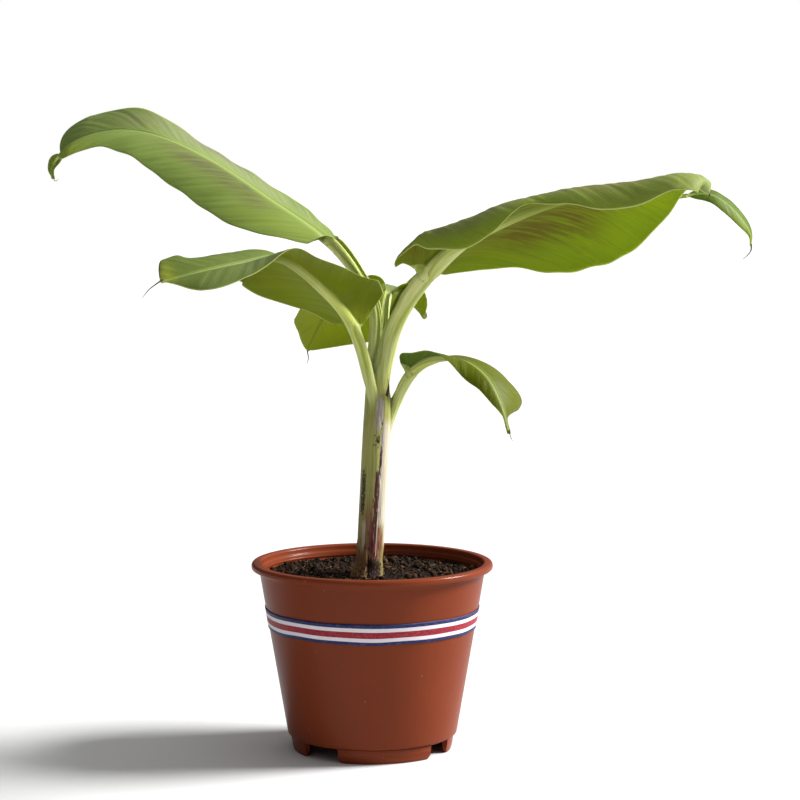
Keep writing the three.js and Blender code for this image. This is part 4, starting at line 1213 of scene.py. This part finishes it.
# ------------------------------------------------------------------ pseudostem
# Where the stem is stained or clad: which colour, compass direction, half width in degrees, lowest
# and highest height, how soft its ends are and how strong it is.
ARC_OF_DEGREE = .19  # about the length round the stem of one degree, mm
MAROON, DARK, PINK, CREAM, TAN, GREY = range(6)
TRUNK_ZONES = (
    (MAROON, 287, 13, 160, 222, 12, 1), (MAROON, 296, 6, 182, 245, 14, .85),
    (MAROON, 120, 25, 150, 205, 14, .8), (MAROON, 277, 24, 140, 160, 8, .8),
    (MAROON, 262, 8, 262, 278, 6, .4), (DARK, 222, 13, 184, 222, 9, .95),
    (DARK, 292, 36, 132, 151, 4, 1), (DARK, 279, 8, 242, 249, 3, .9), (DARK, 272, 16, 236, 252, 5, .4),
    (DARK, 293, 4, 254, 262, 4, .8), (DARK, 232, 20, 134, 147, 4, .55),
    (DARK, 40, 60, 132, 148, 6, .8), (DARK, 283, 14, 160, 200, 14, .35),
    (PINK, 284, 24, 148, 182, 9, 1), (PINK, 276, 12, 176, 206, 10, .6),
    (PINK, 316, 16, 148, 174, 8, .5), (PINK, 250, 12, 150, 170, 10, .4),
    (CREAM, 330, 36, 176, 258, 12, .9), (CREAM, 10, 40, 160, 262, 10, .8),
    (CREAM, 60, 45, 150, 262, 10, .6), (CREAM, 236, 8, 158, 182, 8, .7),
    (TAN, 226, 34, 132, 160, 7, .9), (TAN, 256, 20, 150, 196, 14, .75),
    (TAN, 312, 26, 148, 186, 14, .8), (TAN, 150, 40, 136, 190, 14, .7), (GREY, 299, 5, 222, 254, 5, 1),
    (GREY, 278, 20, 252, 280, 8, .75), (GREY, 300, 12, 176, 226, 12, .6),
)


def trunk_marks(points):
    """The stem's stains and claddings at any points, and the place round and up the stem."""
    x, y, _ = stem_at(points[:, 2])
    degrees = np.degrees(np.arctan2(points[:, 1] - y, points[:, 0] - x)) % 360
    z = points[:, 2]
    amounts = np.zeros((6, len(points)))
    for kind, at, half_width, low, high, soft, strength in TRUNK_ZONES:
        off = np.abs((degrees - at + 180) % 360 - 180)
        reach = smooth(off, half_width * 1.5, half_width * .5)
        reach = reach * smooth(z, low - soft, low + soft) * smooth(z, high + soft, high - soft)
        amounts[kind] = np.maximum(amounts[kind], strength * reach)
    stem = np.stack([degrees * ARC_OF_DEGREE, z, np.zeros(len(points))], -1)
    return amounts[:3].T, amounts[3:].T, stem


def stem_shape():
    """The pseudostem: a finely fibred trunk of wrapped sheaths that flares at its foot."""
    heights = np.concatenate([np.arange(STEM_FOOT - STEM_SUNK, 298, 1.2), [298.6, 299.3, 299.8, STEM_END]])
    x, y, radius = stem_at(heights)
    radius = np.convolve(np.pad(radius, 4, mode="edge"), np.ones(9) / 9, "valid")
    radius = radius * np.sqrt(1 - smooth(heights, STEM_END - 6, STEM_END + 1))
    around = 144
    turn = np.linspace(0, 2 * math.pi, around, endpoint=False)
    z = heights[:, None] + 0 * turn[None]
    degrees = np.degrees(turn)[None] + 0 * z
    # an old outer sheath torn off low on the left, and a smaller one at the back
    lift = np.zeros_like(z)
    for start, reach, high, lean, thickness in ((186, 74, 156, .25, 1.5), (196, 40, 168, .15, .8),
                                                (95, 95, 176, -.1, 1.1), (20, 60, 150, .1, .9)):
        top = high + lean * ((degrees - start) % 360 - reach / 2) + 2.5 * waves(degrees, (23, 11, 6), start)
        inside = (degrees - start) % 360
        across = smooth(inside, 0, 5) * smooth(inside, reach, reach - 5)
        flare = 1 + 1.2 * smooth(z, STEM_FOOT + 14, STEM_FOOT)
        lift += thickness * flare * across * smooth(z, top + 1.2, top - .6)
    ribs = .10 * waves(degrees + .05 * z, (7.0, 4.6, 11.0), 4)
    ribs = ribs + .14 * waves(degrees * 1.2 + z * .8, (90, 140), 8)
    knobs = .25 * waves(z + degrees * .1, (14, 23, 37), 6) * smooth(z, 180, 150)
    r = (radius - .35)[:, None] + lift + (ribs + knobs) * (radius[:, None] > 6)
    points = np.stack([x[:, None] + r * np.cos(turn), y[:, None] + r * np.sin(turn), z], -1)
    stains, wraps, stem = trunk_marks(points.reshape(-1, 3))
    return ringed(points, stem=stem, stains=stains, wraps=wraps)


# ------------------------------------------------------------------ build
pot_look = pot_material()
pot = make("pot_shell", [pot_shape()], [pot_look], ["pot"])
drill(pot)
make("pot_feet", [foot_shape(a, b) for a, b in FOOT_ARCS], [pot_look])
make("ribbon", ribbon_shapes(), [ribbon_material()], ["ribbon_band"])

soil_look = mix_material("potting_mix", srgb(18, 11, 8), srgb(44, 28, 18), srgb(84, 60, 40))
make("mix_bed", [mix_bed()], [soil_look], ["potting_mix"])
make("mix_crumbs", [crumb_shapes(4200, .35, 1.7), crumb_shapes(620, 1.5, 3.2)], [soil_look])
make("mix_fibres", fibre_shapes(420), [mix_material("mix_fibres", srgb(40, 27, 17), srgb(88, 64, 40),
                                                     srgb(132, 104, 70))])

make("stem", [stem_shape()], [stem_material()], ["pseudostem"])
stalk_look = stalk_material("leaf_stalks")
thread_look = dry_material("dry_threads", srgb(58, 44, 30), srgb(108, 90, 62))
for leaf_name, leaf_facts in LEAVES.items():
    build_leaf(leaf_name, leaf_facts, stalk_look, thread_look)

# a black dried shred of a dead sheath stands up at the crown, on the side of the lowest leaf
shred = tube(Line(((10, -4, 276), (12, -8, 281), (12.9, -9.5, 287), (12.4, -10, 293))), (1.3, 1.2, .9, .25),
             squash=.35)
make("crown_shred", [shred], [dry_material("dead_sheath", srgb(14, 10, 8), srgb(40, 30, 24))])


# ------------------------------------------------------------------ stage, light and camera
def plain(name, colour, rough):
    """A material of one colour."""
    n = Nodes(name)
    return n.finish(colour, rough)


bpy.ops.mesh.primitive_circle_add(vertices=96, radius=30, fill_type="NGON", location=(0, 0, 0))
floor = bpy.context.object
floor.name = "floor"
floor.data.materials.append(plain("pale_floor", (.62, .62, .62, 1), .9))

scene = bpy.context.scene
scene.view_settings.view_transform = "Standard"


def studio_world():
    """A dim room with one large soft light above, behind and to the right; the camera sees it white."""
    world = bpy.data.worlds.new("studio")
    scene.world = world
    world.use_nodes = True
    tree = world.node_tree
    shown = tree.nodes["World Output"].inputs["Surface"]
    room = tree.nodes["Background"]

    def node(kind, **settings):
        made = tree.nodes.new(kind)
        for key, value in settings.items():
            setattr(made, key, value)
        return made

    facing = node("ShaderNodeVectorMath", operation="DOT_PRODUCT")
    tree.links.new(node("ShaderNodeNewGeometry").outputs["Position"], facing.inputs[0])
    facing.inputs[1].default_value = Vector((.55, .2, .81)).normalized()
    soft = node("ShaderNodeMapRange", interpolation_type="SMOOTHSTEP")
    tree.links.new(facing.outputs["Value"], soft.inputs["Value"])
    for key, value in (("From Min", .1), ("From Max", .95), ("To Min", ROOM_LIGHT), ("To Max", SKY_LIGHT)):
        soft.inputs[key].default_value = value
    tree.links.new(soft.outputs[0], room.inputs["Strength"])
    room.inputs["Color"].default_value = (1, 1, 1, 1)
    white = node("ShaderNodeBackground")
    choose = node("ShaderNodeMixShader")
    tree.links.new(node("ShaderNodeLightPath").outputs["Is Camera Ray"], choose.inputs[0])
    tree.links.new(room.outputs[0], choose.inputs[1])
    tree.links.new(white.outputs[0], choose.inputs[2])
    white.inputs["Color"].default_value = (1, 1, 1, 1)
    tree.links.new(choose.outputs[0], shown)


def sun(name, azimuth, elevation, spread, strength):
    """A soft far light; azimuth in degrees from the front towards the right."""
    data = bpy.data.lights.new(name, "SUN")
    data.energy = strength
    data.angle = math.radians(spread)
    lamp = bpy.data.objects.new(name, data)
    scene.collection.objects.link(lamp)
    a, e = math.radians(azimuth), math.radians(elevation)
    towards = Vector((math.cos(e) * math.sin(a), -math.cos(e) * math.cos(a), math.sin(e)))
    lamp.rotation_euler = towards.to_track_quat("Z", "Y").to_euler()


ROOM_LIGHT = .07
SKY_LIGHT = .75
studio_world()
sun("key", 98, 36, 22, 7.5)
sun("front_fill", -20, 40, 60, .2)

CAMERA_DISTANCE = 2.0          # from the plant's middle
CAMERA_ELEVATION = math.radians(5.66)
CAMERA_TARGET = Vector(AXIS * MM) + Vector((.0219, 0, .2756))
CAMERA_LENS = 115.04           # for a sensor 36 mm wide
camera_data = bpy.data.cameras.new("camera")
camera_data.lens = CAMERA_LENS
camera_data.sensor_width = 36
camera_data.dof.use_dof = False
camera = bpy.data.objects.new("camera", camera_data)
scene.collection.objects.link(camera)
away = Vector((0, -math.cos(CAMERA_ELEVATION), math.sin(CAMERA_ELEVATION)))
camera.location = CAMERA_TARGET + away * CAMERA_DISTANCE
camera.rotation_euler = (math.pi / 2 - CAMERA_ELEVATION, 0, 0)
scene.camera = camera
